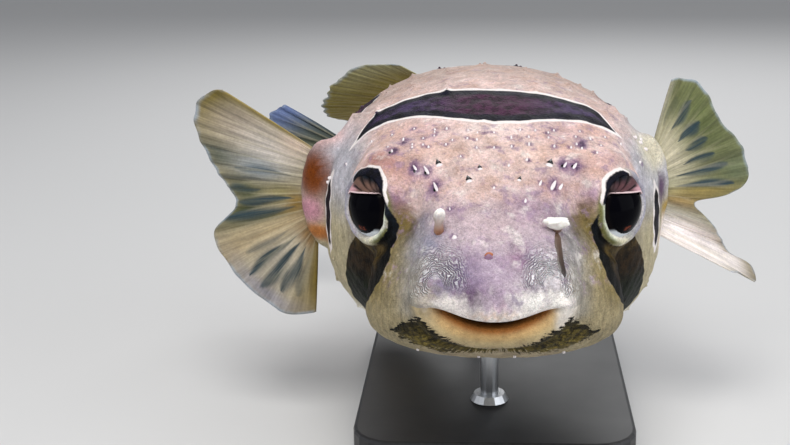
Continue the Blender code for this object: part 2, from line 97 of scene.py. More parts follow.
# Body outline: one row for each station from the mouth back to the tail root.
# back (y, z), flank (x, y, z), underside (y, z), fullness above and below the flank
STATIONS = np.array((
    (-36.1, -24.6, 0, -36.1, -24.6, -36.1, -24.6, 2, 2),
    (-46.4, -25.6, 14, -38.7, -23.6, -45.6, -28.6, 2, 2),
    (-51.3, -26.5, 18, -40.9, -24.0, -49.4, -30.4, 2, 2),
    (-52.5, -22.3, 23, -40.6, -24.2, -49.4, -34.0, 2, 2.2),
    (-50.7, -15.9, 29.3, -36.6, -24.4, -45.6, -38.5, 2.1, 2.4),
    (-46.9, -10.5, 36.5, -29.7, -25.3, -39.6, -42.7, 2.1, 2.6),
    (-39.6, -4.7, 42, -21.5, -27.9, -31.8, -46.9, 2.2, 2.8),
    (-28.4, 3.8, 46, -12, -29.5, -21.5, -50.4, 2.3, 3),
    (-14.6, 12.9, 48, -2.6, -28.1, -8.6, -53.4, 2.6, 3),
    (-0.9, 21.5, 51, 8, -24, 6, -57, 3.2, 2.9),
    (16, 28.5, 58, 22, -19, 24, -62.5, 3, 2.8),
    (36, 35, 66, 39, -16, 46, -68.5, 2.55, 2.7),
    (60, 40, 71, 60, -15, 70, -73.5, 2.16, 2.6),
    (90, 40, 70.5, 90, -15, 98, -75.5, 2.08, 2.5),
    (125, 34, 63.5, 125, -16, 128, -70, 2.3, 2.4),
    (160, 20, 49, 160, -20, 160, -58, 2.2, 2.2),
    (192, 6, 33, 192, -24.5, 190, -47, 2.1, 2.1),
    (222, -10, 17.5, 222, -29, 219, -42, 2, 2),
    (250, -19, 9.5, 250, -31, 250, -43, 2, 2),
    (266, -31, 0, 266, -31, 266, -31, 2, 2),
))
LAST_STATION = len(STATIONS) - 1

# Hollows and swellings laid over the outline, alike on both sides.
# middle (x, y, z), reach (x, y, z), push (x, y, z)
SHAPING = (
    ("brow", (42, 3, 15), (15, 16, 11), (7, -3, 3)),
    ("eye_hollow", (33, -12, 1.5), (9, 13, 15), (-4, 3, -1)),
    ("cheek_bar", (50, 4, -20), (12, 9, 19), (-4, 3, 0)),
    ("jowl", (44, -15, -38), (14, 16, 12), (2.5, -2, -0.5)),
    ("mouth_corner", (24, -39, -22), (6.5, 7, 7), (2, -2.5, 0.5)),
    ("corner_fold", (33, -30, -15), (6, 8, 8), (-2, 1, 0)),
    ("corner_fill", (25, -39, -24), (4.5, 6, 3.5), (0.6, -1.8, 0)),
)

# The raised ring of skin round the eye: distance from the look axis and height along it
RIM_PROFILE = ((0, 4.0), (8.8, 4.2), (10.2, 6.0), (11.1, 8.0), (11.8, 8.9), (12.6, 9.3),
               (13.4, 9.0), (14.2, 8.0), (15.2, 6.6), (24, 2.0))
RIM_END = 14.8  # from here the ring runs out into the head
RIM_REACH = 22.0
RIM_BACK = -14.0  # how far along the look axis it begins
RIM_GATHER = 0.62  # below 1, draws the skin's vertices towards the ring

# Fins. Each row is one ray in so many: share of the way along the root, tilt and sweep in
# degrees, length.
PECTORAL_LOBE_MIDDLE = {"right": Vector((-69.0, 60.0, -9.0)), "left": Vector((63.0, 62.0, -7.0))}
PECTORAL_LOBE = Vector((11.0, 9.0, 23.5))
LOBE_BLEND = 3.0
PECTORAL_ROOT = Vector((9.5, 1.5, 21.6))
PECTORAL_ARC = 62.0
RIGHT_PECTORAL_RAYS = (
    (0.00, 33, 6, 46), (0.09, 25, 10, 54), (0.24, 12, 14, 49), (0.43, 0, 16, 37),
    (0.56, -9, 14, 32), (0.66, -17, 8, 44), (0.77, -33, 6, 42), (0.87, -51, 6, 41),
    (0.95, -70, 8, 41), (1.00, -86, 10, 36),
)
LEFT_PECTORAL_RAYS = (
    (0.00, 76, 4, 27), (0.10, 61, 8, 32), (0.25, 36, 14, 30), (0.42, 12, 20, 38),
    (0.51, -3, 20, 38), (0.60, -14, 20, 15), (0.70, -26, 28, 33), (0.80, -29, 34, 45),
    (0.84, -30.5, 32, 50), (0.865, -30.5, 30, 64), (0.90, -33, 20, 62), (0.925, -30.5, 12, 48),
    (0.96, -27.5, 2, 42), (1.00, -25, -12, 37),
)
TAIL_RAYS = (
    (0.00, 29, 0, 42), (0.16, 23, 2, 48), (0.50, 0, 3, 52), (0.84, -23, 2, 48), (1.00, -29, 0, 42),
)
DORSAL_RAYS = (
    (0.00, 60, 0, 36), (0.14, 68, 8, 53), (0.42, 78, 18, 62), (0.72, 86, 30, 60),
    (0.92, 91, 42, 42), (1.00, 92, 52, 26),
)
ANAL_RAYS = (
    (0.00, 22, 4, 30), (0.14, 27, 14, 44), (0.42, 33, 26, 50), (0.72, 38, 38, 47),
    (0.92, 40, 50, 36), (1.00, 40, 58, 24),
)
DORSAL_ROOT = (168.0, 204.0)
ANAL_ROOT = (172.0, 204.0)
RIDGE_DEPTH = 3.5
TAIL_ROOT = (253.0, -23.0, -39.5)

# The trunk's spines stand in rings round it: the long ones in LONG_RINGS, short ones between them
SPINES_ROUND = 14
RING_STEP = 0.55  # in stations
LONG_RINGS = 6
LONG_FIRST = 11.75  # station of the first ring
LONG_LENGTH = 19.0
LONG_THICK = 1.045  # half a spine's thickness at its foot
SHORT_RINGS = 13
SHORT_FIRST = 10.95
SHORT_LENGTH = 12.0
SHORT_LENGTH_DRIFT = 1.5
SHORT_TURN_DRIFT = 0.05
SHORT_THICK = 0.76
SPINE_LIFT = math.radians(12.825)
SPINE_DEPTH = 0.96  # how far the foot lies under the skin
SPINE_TIP = 0.18  # half the thickness at the tip
SPINE_BOW = 0.6  # how far the middle stands out from a straight line
SPINE_PATCH = 0.003  # how much of the UV map's width one spine takes
NAPE_END = 11.3  # short spines before this station keep NAPE_CLEAR from dark markings
NAPE_CLEAR = 3
LOBE_CLEAR = 27.0  # how far all of them stay from the pectoral lobes


# ---------------------------------------------------------------- shape of the fish

def smooth_columns(table, start, u):
    """The table's columns along smooth curves through its rows, at u from row start to the next."""
    a, b, c, d = [table[np.clip(start + step, 0, len(table) - 1)] for step in (-1, 0, 1, 2)]
    u = u[:, None]
    return (b + 0.5 * u * (c - a + u * (2 * a - 5 * b + 4 * c - d + u * (3 * (b - c) + d - a)))).T


def ramp(low, high, value):
    """0 below low and 1 above high, softly in between; low may be the larger."""
    share = np.clip((value - low) / (high - low), 0.0, 1.0)
    return share * share * (3 - 2 * share)


def merged(a, b, soft):
    """The smaller of two distances, with a soft change from one to the other."""
    share = np.clip(0.5 + 0.5 * (b - a) / soft, 0.0, 1.0)
    return b + (a - b) * share - soft * share * (1 - share)


def mirrored(points):
    """The points as they lie on the fish's left side."""
    return np.column_stack((np.abs(points[:, 0]), points[:, 1:]))


def signs(points):
    """What turns mirrored points back to their own side."""
    return np.where(points * (1, 0, 0) < 0, -1.0, 1.0)


def rails(t):
    """The columns of STATIONS, read smoothly at t stations from the mouth."""
    start = np.clip(np.floor(t).astype(int), 0, LAST_STATION - 1)
    return smooth_columns(STATIONS, start, t - start)


def nearness(points, middle, reach):
    """1 at the middle, fading out softly over the reach along each axis."""
    return np.exp(-(((points - middle) / reach) ** 2).sum(axis=1))


def shaped(points):
    moved = points.copy()
    for _, middle, reach, push in SHAPING:
        moved += nearness(mirrored(points), middle, reach)[:, None] * signs(points) * push
    return moved


def straight_points(t, angle):
    """Points of the straight body: angle runs from the left flank over the back."""
    y_back, z_back, x_flank, y_flank, z_flank, y_under, z_under, full_up, full_low = rails(t)
    cosine, sine = np.cos(angle), np.sin(angle)
    above = sine > 0
    y_end, z_end = np.where(above, y_back, y_under), np.where(above, z_back, z_under)
    full = np.where(above, full_up, full_low)
    across = np.sign(cosine) * np.abs(cosine) ** (2 / full)
    upright = np.abs(sine) ** (2 / full)
    return shaped(np.column_stack((
        x_flank * across,
        y_flank + (y_end - y_flank) * sine * sine,
        z_flank + (z_end - z_flank) * upright,
    )))


def bent(points):
    """Points of the straight frame on the posed fish, in metres."""
    x, y, z = np.atleast_2d(np.asarray(points, float)).T
    turn = np.maximum(0.0, y - BEND_START) / BEND_RADIUS
    lean = np.maximum(0.0, y - SWAY_START) / SWAY_REACH
    across = -BEND_RADIUS * (1 - np.cos(turn)) - SWAY * (1 - np.exp(-lean * lean))
    along = np.minimum(y, BEND_START) + BEND_RADIUS * np.sin(turn)
    posed = np.column_stack((across + x * np.cos(turn), along + x * np.sin(turn), z))
    return np.array(EYES_MIDPOINT) + MM * posed


def in_eye_frame(points):
    """How far points lie towards the snout, upwards and along the look of their side's eye."""
    return (mirrored(points) - EYE_MIDDLE) @ np.array((EYE_SNOUTWARD, EYE_UP, EYE_LOOK)).T


def from_eye_frame(local, side):
    own = np.atleast_2d(local) @ np.array((EYE_SNOUTWARD, EYE_UP, EYE_LOOK)) + EYE_MIDDLE
    return own * (side, 1, 1)


def with_eye_rings(points):
    """The skin raised to a ring round each eye, and sunk behind the eyeball inside it."""
    local = in_eye_frame(points)
    out = np.hypot(local[:, 0], local[:, 1])
    near = (out < RIM_REACH) & (local[:, 2] > RIM_BACK)
    ring = local[near]
    radius = np.maximum(out[near], 1e-6)
    spread = np.where(radius < RIM_END, RIM_END * (radius / RIM_END) ** RIM_GATHER, radius)
    height = np.interp(spread, *np.array(RIM_PROFILE).T)
    share = ramp(RIM_END, RIM_REACH, spread)
    ring[:, :2] *= (spread / radius)[:, None]
    ring[:, 2] = height * (1 - share) + ring[:, 2] * share
    raised = points.copy()
    raised[near] = from_eye_frame(ring, 1) * signs(points[near])
    return raised


def with_lobes(points):
    """The flanks swollen where the pectoral fins' fleshy lobes stand."""
    swollen = points.copy()
    for word, side in SIDES:
        middle = PECTORAL_LOBE_MIDDLE[word]
        near = side * points[:, 0] > 20
        y, z = points[near, 1], points[near, 2]
        fill = 1 - ((y - middle.y) / PECTORAL_LOBE.y) ** 2
        fill -= ((z - middle.z) / PECTORAL_LOBE.z) ** 2
        lobe = abs(middle.x) + PECTORAL_LOBE.x * np.sign(fill) * np.sqrt(np.abs(fill))
        own = side * points[near, 0]
        grown = -merged(-own, -lobe, LOBE_BLEND)
        swollen[near, 0] = side * np.where(fill > -1.2, grown, own)
    return swollen


def skin_points(t, angle):
    return with_lobes(with_eye_rings(straight_points(t, angle)))


# ---------------------------------------------------------------- markings

def tone(red, green, blue):
    """A colour given in the everyday 0 to 255 scale, as the shader's linear numbers."""
    shares = np.array((red, green, blue)) / 255
    return np.where(shares > 0.04045, ((shares + 0.055) / 1.055) ** 2.4, shares / 12.92)


BEIGE = tone(216, 190, 184)
VIOLET = tone(112, 84, 120)
LAVENDER = tone(184, 168, 178)
OLIVE = tone(146, 134, 104)
CHEEK = tone(150, 144, 132)
CREAM = tone(188, 168, 126)
PALE = tone(238, 232, 226)
FLANK = tone(184, 182, 190)
FLANK_LOW = tone(176, 164, 128)
TAN = tone(186, 150, 132)
MAUVE_GREY = tone(146, 122, 148)
BACK = tone(182, 159, 149)
BELLY = tone(232, 228, 218)
# Near the slit the lower lip's tan and orange-brown are partly its own colour and partly painted
# shade under the upper lip's edge; the darkest is painted shade in the slit and inside the mouth.
MOUTH = tone(140, 88, 40)
MOUTH_RIM = tone(184, 150, 100)
MOUTH_SHADE = tone(40, 22, 14)
CREASE_OLIVE = tone(124, 108, 60)
RING_SIDE = tone(164, 162, 174)
RING_LOW = tone(214, 208, 180)
RING_INNER = tone(204, 210, 190)
RING_SPECK = tone(108, 108, 62)
INK = tone(12, 12, 26)
TEAL = tone(14, 20, 28)
BLACK = tone(4, 4, 3)
PURPLE = tone(58, 26, 50)
BAND_END = tone(52, 38, 70)
BROWN = tone(38, 27, 14)
BAR_TOP = tone(72, 58, 28)
BAR_LOW = tone(14, 20, 9)
THROAT = tone(12, 10, 6)
THROAT_LOW = tone(92, 80, 34)
FLOOR_GREY = tone(214, 214, 214)

# Soft clouds of colour: middle, reach, colour, strength, and True where both sides carry it
CLOUDS = (
    ((0, 16, 28), (16, 12, 10), (236, 214, 208), 0.8),
    ((16, 2, 22), (10, 8, 6), (226, 194, 182), 0.8, True),
    ((29, 17, 27), (11, 9, 8), (204, 172, 170), 0.8, True),
    ((39, 20, 26), (8, 8, 6), (206, 164, 148), 0.6, True),
    ((37, -2, 17), (6, 6, 5), (206, 166, 154), 0.8, True),
    ((28, 4, 21), (6, 6, 6), (204, 160, 142), 0.5, True),
    ((-44, 2, 19.5), (7, 6, 5), (158, 108, 100), 0.9),
    ((-38, -2, 18), (5, 5, 4), (168, 124, 118), 0.9),
    ((43, 2, 19.5), (6, 6, 5), (188, 154, 152), 0.8),
    ((-37.5, -10, 7.5), (4.5, 6, 4), (138, 102, 138), 0.9),
    ((36, -10, 8), (4.5, 6, 4), (176, 146, 172), 0.9),
    ((-35, -11, 4), (4, 6, 3.5), (140, 96, 130), 0.9),
    ((34, -11, 4), (4, 6, 3.5), (98, 68, 78), 0.9),
    ((24, 12, 27), (9, 8, 5), (196, 164, 164), 0.6, True),
    ((8, -22, 7), (8, 8, 6), (172, 146, 160), 0.6),
    ((61, 44, 13), (6, 12, 9), (224, 216, 190), 0.85),
    ((36, 50, 36), (16, 20, 8), (176, 152, 142), 0.6),
    ((-32, -6, 15), (5, 4, 5), (196, 150, 142), 0.7),
    ((-22, -11, 12), (4, 5, 5), (158, 124, 150), 0.7),
    ((-29, -5, 17), (4, 4, 4), (150, 122, 152), 0.6),
    ((28, -4, 18), (5, 4, 4), (148, 118, 150), 0.75),
    ((20, -13, 13), (5, 5, 5), (160, 124, 142), 0.7),
    ((27, -11, 12), (5, 5, 5), (176, 144, 150), 0.6),
    ((-14, -23, 6), (3.5, 4, 4), (146, 120, 146), 0.7),
    ((12, -23, 6), (4, 5, 5), (140, 112, 144), 0.8),
    ((26, -20, 0), (6, 7, 8), (142, 136, 150), 0.9, True),
    ((19.5, -21, 5), (6, 7, 5), (142, 122, 138), 0.9),
    ((13, -20, 8.5), (5, 7, 4), (162, 138, 150), 0.7),
    ((28, -28, -8), (6, 7, 7), (150, 146, 148), 0.8, True),
    ((0, -30, 2), (12, 9, 8), (196, 174, 178), 0.8),
    ((0, -46, -11), (11, 8, 7), (172, 154, 172), 0.85),
    ((-13, -44, -11.5), (6.5, 6, 6), (104, 92, 130), 0.95),
    ((-7, -49, -14.5), (5, 5, 4), (132, 112, 144), 0.7),
    ((-8, -42, -8), (4.5, 5, 4.5), (146, 124, 150), 0.6),
    ((9.5, -41, -6.5), (4.5, 5, 4.5), (150, 112, 140), 0.85),
    ((13.5, -40, -7), (3.5, 5, 3.5), (124, 106, 132), 0.8),
    ((19, -42, -12), (5, 6, 6), (238, 234, 236), 0.9),
    ((-21, -41.5, -13), (3, 5, 4), (206, 204, 216), 0.7),
    ((-20, -44, -15.5), (2.6, 4, 2.2), (204, 200, 212), 0.8),
    ((-24, -32, -3), (6, 7, 5.5), (132, 132, 152), 0.9),
    ((7, -50, -15), (4, 4, 3), (176, 160, 176), 0.6),
    ((-18, -46, -15), (4, 5, 4), (176, 168, 176), 0.8),
    ((19, -45, -15), (4, 5, 4), (190, 184, 188), 0.8),
    ((9, -50, -16), (5, 4, 3), (214, 204, 204), 0.8),
    ((8, -51, -19.5), (3, 3, 2), (170, 158, 172), 0.6),
)

# The same in the crease between eye and snout, on the upper lip and at the mouth's corners
CREASE_CLOUDS = (
    ((-33, -12, -0.5), (4, 6, 4), (116, 88, 56), 0.9),
    ((-30.5, -15.5, -4), (4, 5, 5), (64, 54, 18), 0.9),
    ((31.5, -12, -0.5), (4, 6, 4), (92, 72, 52), 0.95),
    ((29.5, -17, -3), (4, 5, 4), (112, 100, 78), 0.8),
)
LIP_CLOUDS = (
    ((-17, -45.5, -16), (8, 5, 3.2), (134, 122, 148), 0.95),
    ((-0.5, -51, -18.5), (8, 5, 4.5), (158, 138, 158), 0.92),
    ((-8.5, -50, -17.5), (4.2, 6, 5), (84, 62, 88), 0.9),
    ((-15, -48.5, -20.3), (5, 4, 2.3), (236, 228, 222), 0.9),
    ((-23, -44.5, -18), (3.4, 5, 3), (158, 146, 134), 0.85),
    ((3.0, -51.5, -21), (3, 3, 1.6), (176, 140, 160), 0.6),
    ((7.7, -51, -19.2), (2.2, 3, 1.8), (140, 126, 150), 0.85),
    ((12.4, -48, -15.2), (3, 3, 1.8), (120, 106, 126), 0.9),
    ((18, -46, -16.4), (3.6, 3, 1.7), (132, 120, 132), 0.85),
    ((0, -52, -24.2), (10, 3, 1.2), (214, 186, 166), 0.7),
    ((15, -47.5, -19.5), (5, 4, 3), (248, 244, 238), 0.8),
)
PILLOWS = (
    ((-23.6, -44.8, -21.4), (2.4, 4, 4.2), (190, 180, 166), 0.9),
    ((24.4, -44.8, -21.6), (3.0, 4, 4.6), (244, 238, 232), 1.0),
)

# Colours of the fleshy pectoral lobes, with painted shade in the right lobe's hollow and under the
# left lobe's top: middle, reach, colour
LOBE_COLOURS_AND_SHADE = (
    ((-73, 56, 18), (12, 16, 6), (228, 188, 184)),
    # Orange-brown of the right lobe's hollow, its own colour deepened by painted shade.
    ((-74, 54, 1.0), (9.5, 14, 12.5), (112, 54, 6)),
    ((-76.5, 54, -14.5), (7.5, 12, 6), (186, 134, 148)),
    ((-73, 54, -24.0), (8, 12, 4), (176, 110, 56)),
    ((66, 55, 10), (9, 14, 8), (208, 200, 178)),
    # Painted shade: a purple patch under the left lobe's top.
    ((68.5, 55, -5), (3.5, 14, 6), (92, 70, 96)),
    ((74, 55, -14.5), (5, 14, 4), (160, 132, 62)),
    ((71, 55, -25), (6, 14, 8), (240, 226, 218)),
)

# The dark upper half of the ring round the eye and the crease beside it: snoutward, up
EYE_PATCH = ((-10.5, 3), (-9, 7.2), (-7.2, 11), (-6, 13.6), (-2.2, 14.9), (3.4, 15.5),
             (5.5, 14.3), (8.1, 12.2), (9.9, 9.8), (11, 7.2), (12.4, 4.2), (14, 1.6), (15.6, -1.6),
             (16.2, -4.2), (15.6, -7.6), (17.4, -11), (12, -15), (6, -14), (13, -7), (13.4, -3),
             (11.6, 1), (10, 4), (0, 5))
LEFT_EYE_PATCH = ((-10.5, 3), (-8.6, 5), (-6.6, 7.8), (-4.6, 10.4), (-2.6, 12.6), (-0.8, 14),
                  (2.6, 14), (6.2, 13), (8.7, 11.6), (10.2, 9.4), (11.4, 6.9), (12.5, 4.2),
                  (13.6, 1.4), (15, -1.2), (15.3, -4.4), (15, -7.6), (16, -11), (12, -15),
                  (6, -14), (13.6, -7), (13.8, -3), (12, 1), (10.4, 4), (0, 5))
# The bar under the eye: y, z
EYE_BAR = ((-9, 0), (-11.7, -3), (-11.5, -6.5), (-15.5, -9.5), (-19, -12.3), (-20.5, -15.5),
           (-21.5, -19), (-20.3, -22.5), (-18.5, -26), (-15.5, -31), (-8, -36), (4, -42),
           (19, -50), (30, -53), (32.5, -45), (29, -36), (25.5, -29), (22.5, -23), (18, -17),
           (13, -11), (6, -4))
# The dark patch on each side of the throat: |x|, its top and its bottom (z)
THROAT_PATCH = np.array(((0, -39.2, -40.6), (9, -38.2, -41.6), (14, -36.6, -42.6),
                         (18.4, -34.4, -43), (23.5, -31.6, -43), (26.5, -28.6, -42.6),
                         (29, -30.4, -42), (32, -32.4, -40.6), (35.6, -36.2, -39),
                         (38, -38, -38)))
MARK_BLEND = 1.5  # how softly markings run into each other
# White-edged blotches of the trunk, the first two being the dark gill openings before the pectoral
# lobes as painted shade: middle, half sizes, and True where both sides carry it
BLOTCHES_AND_GILL_SHADE = (
    # Painted shade of the gill openings, one on each side.
    ((-69, 45.5, -13), (30, 3.6, 14)),
    ((64, 38, -13), (30, 4.2, 12)),
    ((55, 94, 16), (17, 19, 13), True),
    ((0, 122, 36), (27, 15, 14)),
    ((0, 186, 8), (17, 23, 16)),
)


def line_distance(a, b, corners):
    """How far the points (a, b) are from a line through the corners."""
    found = np.full(len(a), 1e6)
    for (a0, b0), (a1, b1) in zip(corners, corners[1:]):
        span = (a1 - a0) ** 2 + (b1 - b0) ** 2
        share = np.clip(((a - a0) * (a1 - a0) + (b - b0) * (b1 - b0)) / span, 0, 1)
        found = np.minimum(found, np.hypot(a - a0 - share * (a1 - a0), b - b0 - share * (b1 - b0)))
    return found


def outline_distance(a, b, corners):
    """The same for a closed outline, negative inside it."""
    ring = (*corners, corners[0])
    inside = np.zeros(len(a), bool)
    for (a0, b0), (a1, b1) in zip(ring, ring[1:]):
        if b0 != b1:
            crossed = (b0 > b) != (b1 > b)
            inside ^= crossed & (a < (a1 - a0) * (b - b0) / (b1 - b0) + a0)
    return line_distance(a, b, ring) * np.where(inside, -1, 1)


def nape_band(points):
    """A bar across the nape, its hind edge closing in on the front one at both ends."""
    x, y, z = points.T
    front = 20 + 16 * (1 - np.exp(-((x / 38) ** 2))) - 0.06 * x
    front += 1.5 * ramp(-7, -1.5, x) * (x < -1.5)
    ends = ramp(0.76, 1.02, np.abs(x + 3.5) / 55)
    hind = 45.5 - 0.085 * x - 16 * ends
    return np.maximum(np.maximum(front - y, y - hind), -z)


def eye_patch(points):
    """The dark upper half of the ring round the eye and the crease on its snout side."""
    across, up, out = in_eye_frame(points).T
    found = np.where(points[:, 0] > 0, outline_distance(across, up, LEFT_EYE_PATCH),
                     outline_distance(across, up, EYE_PATCH))
    return np.maximum(found, -8 - out)


def ring_shield(points):
    """Positive over the lower part of the ring, which stays pale."""
    across, up, out = in_eye_frame(points).T
    snoutward = ramp(4, 10, across) * np.where(points[:, 0] > 0, 0.25, 1.0)
    reach = 14.6 - snoutward * (0.7 + 1.7 * ramp(8, 4, up) * ramp(-3, 1, up))
    top = 6.2 - 0.24 * across
    return np.minimum(reach - np.hypot(across, up), np.where(out > -6, top - up, -9.0))


def eye_bar(points):
    x, y, z = points.T
    return np.maximum(outline_distance(y, z, EYE_BAR), 31 - np.abs(x))


def bar_front(points):
    """How far points are from the bar's front edge, where it is blackest."""
    return line_distance(points[:, 1], points[:, 2], EYE_BAR[:12])


def throat_patch(points):
    x, y, z = points.T
    top, bottom = [np.interp(np.abs(x), *THROAT_PATCH[:, (0, column)].T) for column in (1, 2)]
    beyond = np.abs(x) - THROAT_PATCH[-1, 0]
    return np.maximum.reduce([z - top, bottom - z, beyond, y + 24])


def throat_fade(points):
    """0 at the top of the throat patch and 1 towards its bottom and its middle."""
    side = np.abs(points[:, 0])
    top = np.interp(side, *THROAT_PATCH[:, :2].T)
    return np.clip((top - points[:, 2]) / 10.0 + 0.8 * ramp(16, 6, side), 0, 1)


def blotch(points, middle, half, both=False):
    own = mirrored(points) if both else points
    return (np.linalg.norm((own - middle) / half, axis=1) - 1) * min(half)


def dark_markings(points):
    """Distance into the dark markings, how white and how ragged their edge is, and their core."""
    plain = np.ones((len(points), 1))
    across, up, _ = in_eye_frame(points).T
    rim = 0.45 + 0.55 * ramp(-5, -1, across)
    bar = layered(BROWN * plain, (BAR_TOP, ramp(-21, -14.5, points[:, 2])),
                  (BAR_LOW, ramp(-26, -34, points[:, 2])),
                  (BLACK, ramp(9, 4, bar_front(points))))
    throat = mixed(THROAT * plain, THROAT_LOW, throat_fade(points))
    band = mixed(PURPLE * plain, BAND_END, ramp(8, 34, np.abs(points[:, 0])))
    kinds = [(nape_band(points), 1.8, 0.5, band),
             (eye_patch(points), ramp(2.4, 5.5, up) * rim, 0.5, TEAL * plain),
             (eye_bar(points), 0.0, 1.0, bar),
             (throat_patch(points), 0.0, 2.6, throat)]
    # The first two blotches are painted shade of the gill openings.
    kinds += [(blotch(points, *row), 1.2, 0.9, PURPLE * plain) for row in BLOTCHES_AND_GILL_SHADE]
    distances, edges, raggeds, cores = zip(*kinds)
    distance = distances[0]
    for found in distances[1:]:
        distance = merged(distance, found, MARK_BLEND)
    weights = np.exp(-np.clip(np.array(distances) - distance, 0, 40) / MARK_BLEND)
    weights /= weights.sum(axis=0)
    edge, ragged = [sum(weight * value for weight, value in zip(weights, values))
                    for values in (edges, raggeds)]
    core = sum(weight[:, None] * colour for weight, colour in zip(weights, cores))
    return np.maximum(distance, ring_shield(points)), edge, ragged, core


def mixed(base, colour, share):
    return base + (colour - base) * np.clip(share, 0, 1)[:, None]


def layered(base, *layers):
    """The base with other colours laid over it in turn, each by its share."""
    for colour, share in layers:
        base = mixed(base, colour, share)
    return base


def uneven(points):
    """The places a little displaced, so that soft shapes drawn over them get broken edges."""
    x, y, z = points.T
    moved = points.copy()
    moved[:, 0] += 0.9 * np.sin(1.7 * z + 1.1 * np.sin(0.9 * x)) + 0.5 * np.sin(3.1 * y + 2.3 * x)
    moved[:, 2] += 0.8 * np.sin(1.5 * x + 1.3 * np.sin(1.1 * y)) + 0.5 * np.sin(2.9 * x - 2.1 * z)
    return moved


def clouded(tint, points, clouds):
    """The colours with soft clouds of other colours laid over them."""
    moved = uneven(points)
    for middle, reach, colour, strength, *both in clouds:
        own = mirrored(moved) if both else moved
        tint = mixed(tint, tone(*colour), strength * nearness(own, middle, reach))
    return tint


def eye_ring_tint(across, up, radius):
    """The pale ring of skin round the eye, in the eye's own frame."""
    return layered(
        np.tile(RING_LOW, (len(radius), 1)), (RING_SIDE, ramp(1, -7, across)),
        (RING_INNER, ramp(3, 9, across)),
        (RING_SPECK, ramp(12.2, 13.8, radius) * ramp(0, 7, across)),
        (PALE, 0.7 * ramp(12.4, 11.3, radius) * ramp(4, -2, up)))


def skin_tint(points, t, upper):
    """The skin's colour between its dark markings, with painted shade in the mouth and on the
    pectoral lobes; upper is true on the upper lip's side.
    """
    x, y, z = points.T
    side = np.abs(x)
    low = ramp(6, -4, z) * ramp(26, 12, y)
    tint = layered(
        np.tile(BEIGE, (len(points), 1)), (BACK, ramp(44, 84, y) * ramp(-25, 10, z)),
        (FLANK, ramp(42, 56, side) * ramp(30, 12, z)
         * ramp(10, 26, y) * ramp(170, 110, y)),
        (FLANK_LOW, 0.9 * ramp(42, 50, side) * ramp(4, -18, z)
         * ramp(6, 16, y) * ramp(90, 50, y)),
        (LAVENDER, ramp(-12, -34, y) * ramp(34, 24, side)),
        (CHEEK, low * ramp(20, 28, side)),
        (OLIVE, low * ramp(30, 38, side) * ramp(-4, -26, z)),
        (OLIVE, 0.9 * ramp(-27, -33, z) * ramp(30, 10, y)),
        (BELLY, ramp(-44, -58, z) * ramp(-8, 20, y)))
    tint = clouded(tint, points, CLOUDS)

    across, up, out = in_eye_frame(points).T
    radius = np.hypot(across, up)
    shown = out > -6
    beside = np.exp(-((radius - 17.5) / 3.2) ** 2)
    beside *= ramp(6, 13, across) * ramp(2, -5, up)
    tint = mixed(tint, CREASE_OLIVE, 0.9 * beside * shown)
    tint = clouded(tint, points, CREASE_CLOUDS)
    front = np.exp(-((bar_front(points) / 6.5) ** 2))
    front *= ramp(28, 34, side) * ramp(-38, -24, z)
    tint = mixed(tint, CREASE_OLIVE, 0.75 * front)
    tint = mixed(tint, eye_ring_tint(across, up, radius), ramp(15.2, 13.8, radius) * shown)
    for middle, reach, colour in LOBE_COLOURS_AND_SHADE:
        away = (((points - middle) / reach) ** 2).sum(axis=1)
        tint = mixed(tint, tone(*colour), np.exp(-away * away))

    edge = t - 0.3 * ramp(4, 10, x) + 0.35 * np.sin(0.9 * x) * np.sin(0.37 * x + 1)
    lip = ramp(4.1, 3.5, edge) * ramp(-27, -22, x) * ramp(30, 25, x)
    tint = mixed(tint, PALE, 0.9 * lip * upper)
    tint = mixed(tint, clouded(tint, points, LIP_CLOUDS), upper)
    lips = ramp(4.3, 3.3, t) * ~upper
    tint = layered(tint, (CREAM, 0.9 * lips), (PALE, 0.8 * lips * ramp(20, 24, x)))
    tint = clouded(tint, points, PILLOWS)
    corners = ~upper * ramp(25, 18, side)
    # Painted shade: the lower lip darkens towards the slit under the upper lip's edge, and the slit
    # and the mouth's inside turn dark brown.
    return layered(tint, (MOUTH_RIM, 0.8 * ramp(3.5, 2.7, t) * corners),
                   (MOUTH, ramp(2.8, 2.0, t) * corners),
                   (MOUTH_SHADE, ramp(2.0, 1.8, t) * upper),
                   (MOUTH_SHADE, ramp(1.5, 0.9, t)))


# ---------------------------------------------------------------- materials

class Wire:
    """What one node of a material hands to the next."""

    def __init__(self, tree, socket):
        self.tree = tree
        self.socket = socket

    def math(self, operation, *others):
        return wired(self.tree, "Math", enumerate((self, *others)), operation=operation)

    def __add__(self, other):
        return self.math("ADD", other)

    def __sub__(self, other):
        return self.math("SUBTRACT", other)

    def __mul__(self, other):
        return self.math("MULTIPLY", other)

    def ramp(self, low, high):
        """The same as ramp() does, worked out by the material."""
        return wired(self.tree, "MapRange", enumerate((self, low, high, 0.0, 1.0)),
                     interpolation_type="SMOOTHSTEP")

    def pick(self, low, high):
        """The colour low where this is 0, turning to high where it is 1."""
        return wired(self.tree, "Mix", ((0, self), (6, low), (7, high)), 2, data_type="RGBA")

    def mix(self, colour, share):
        """This colour turned towards another by share."""
        return share.pick(self, colour)

    def brighter(self, by):
        """This colour multiplied by a number."""
        return wired(self.tree, "VectorMath", ((0, self), (3, by)), operation="SCALE")

    def grained(self, pattern, gain):
        """This colour with a pattern's light and dark; gain is how far apart they are."""
        return self.brighter(pattern * gain + (1 - gain / 2))

    def parts(self):
        """The three numbers of a vector."""
        first = wired(self.tree, "SeparateXYZ", ((0, self),))
        return [Wire(self.tree, output) for output in first.socket.node.outputs]


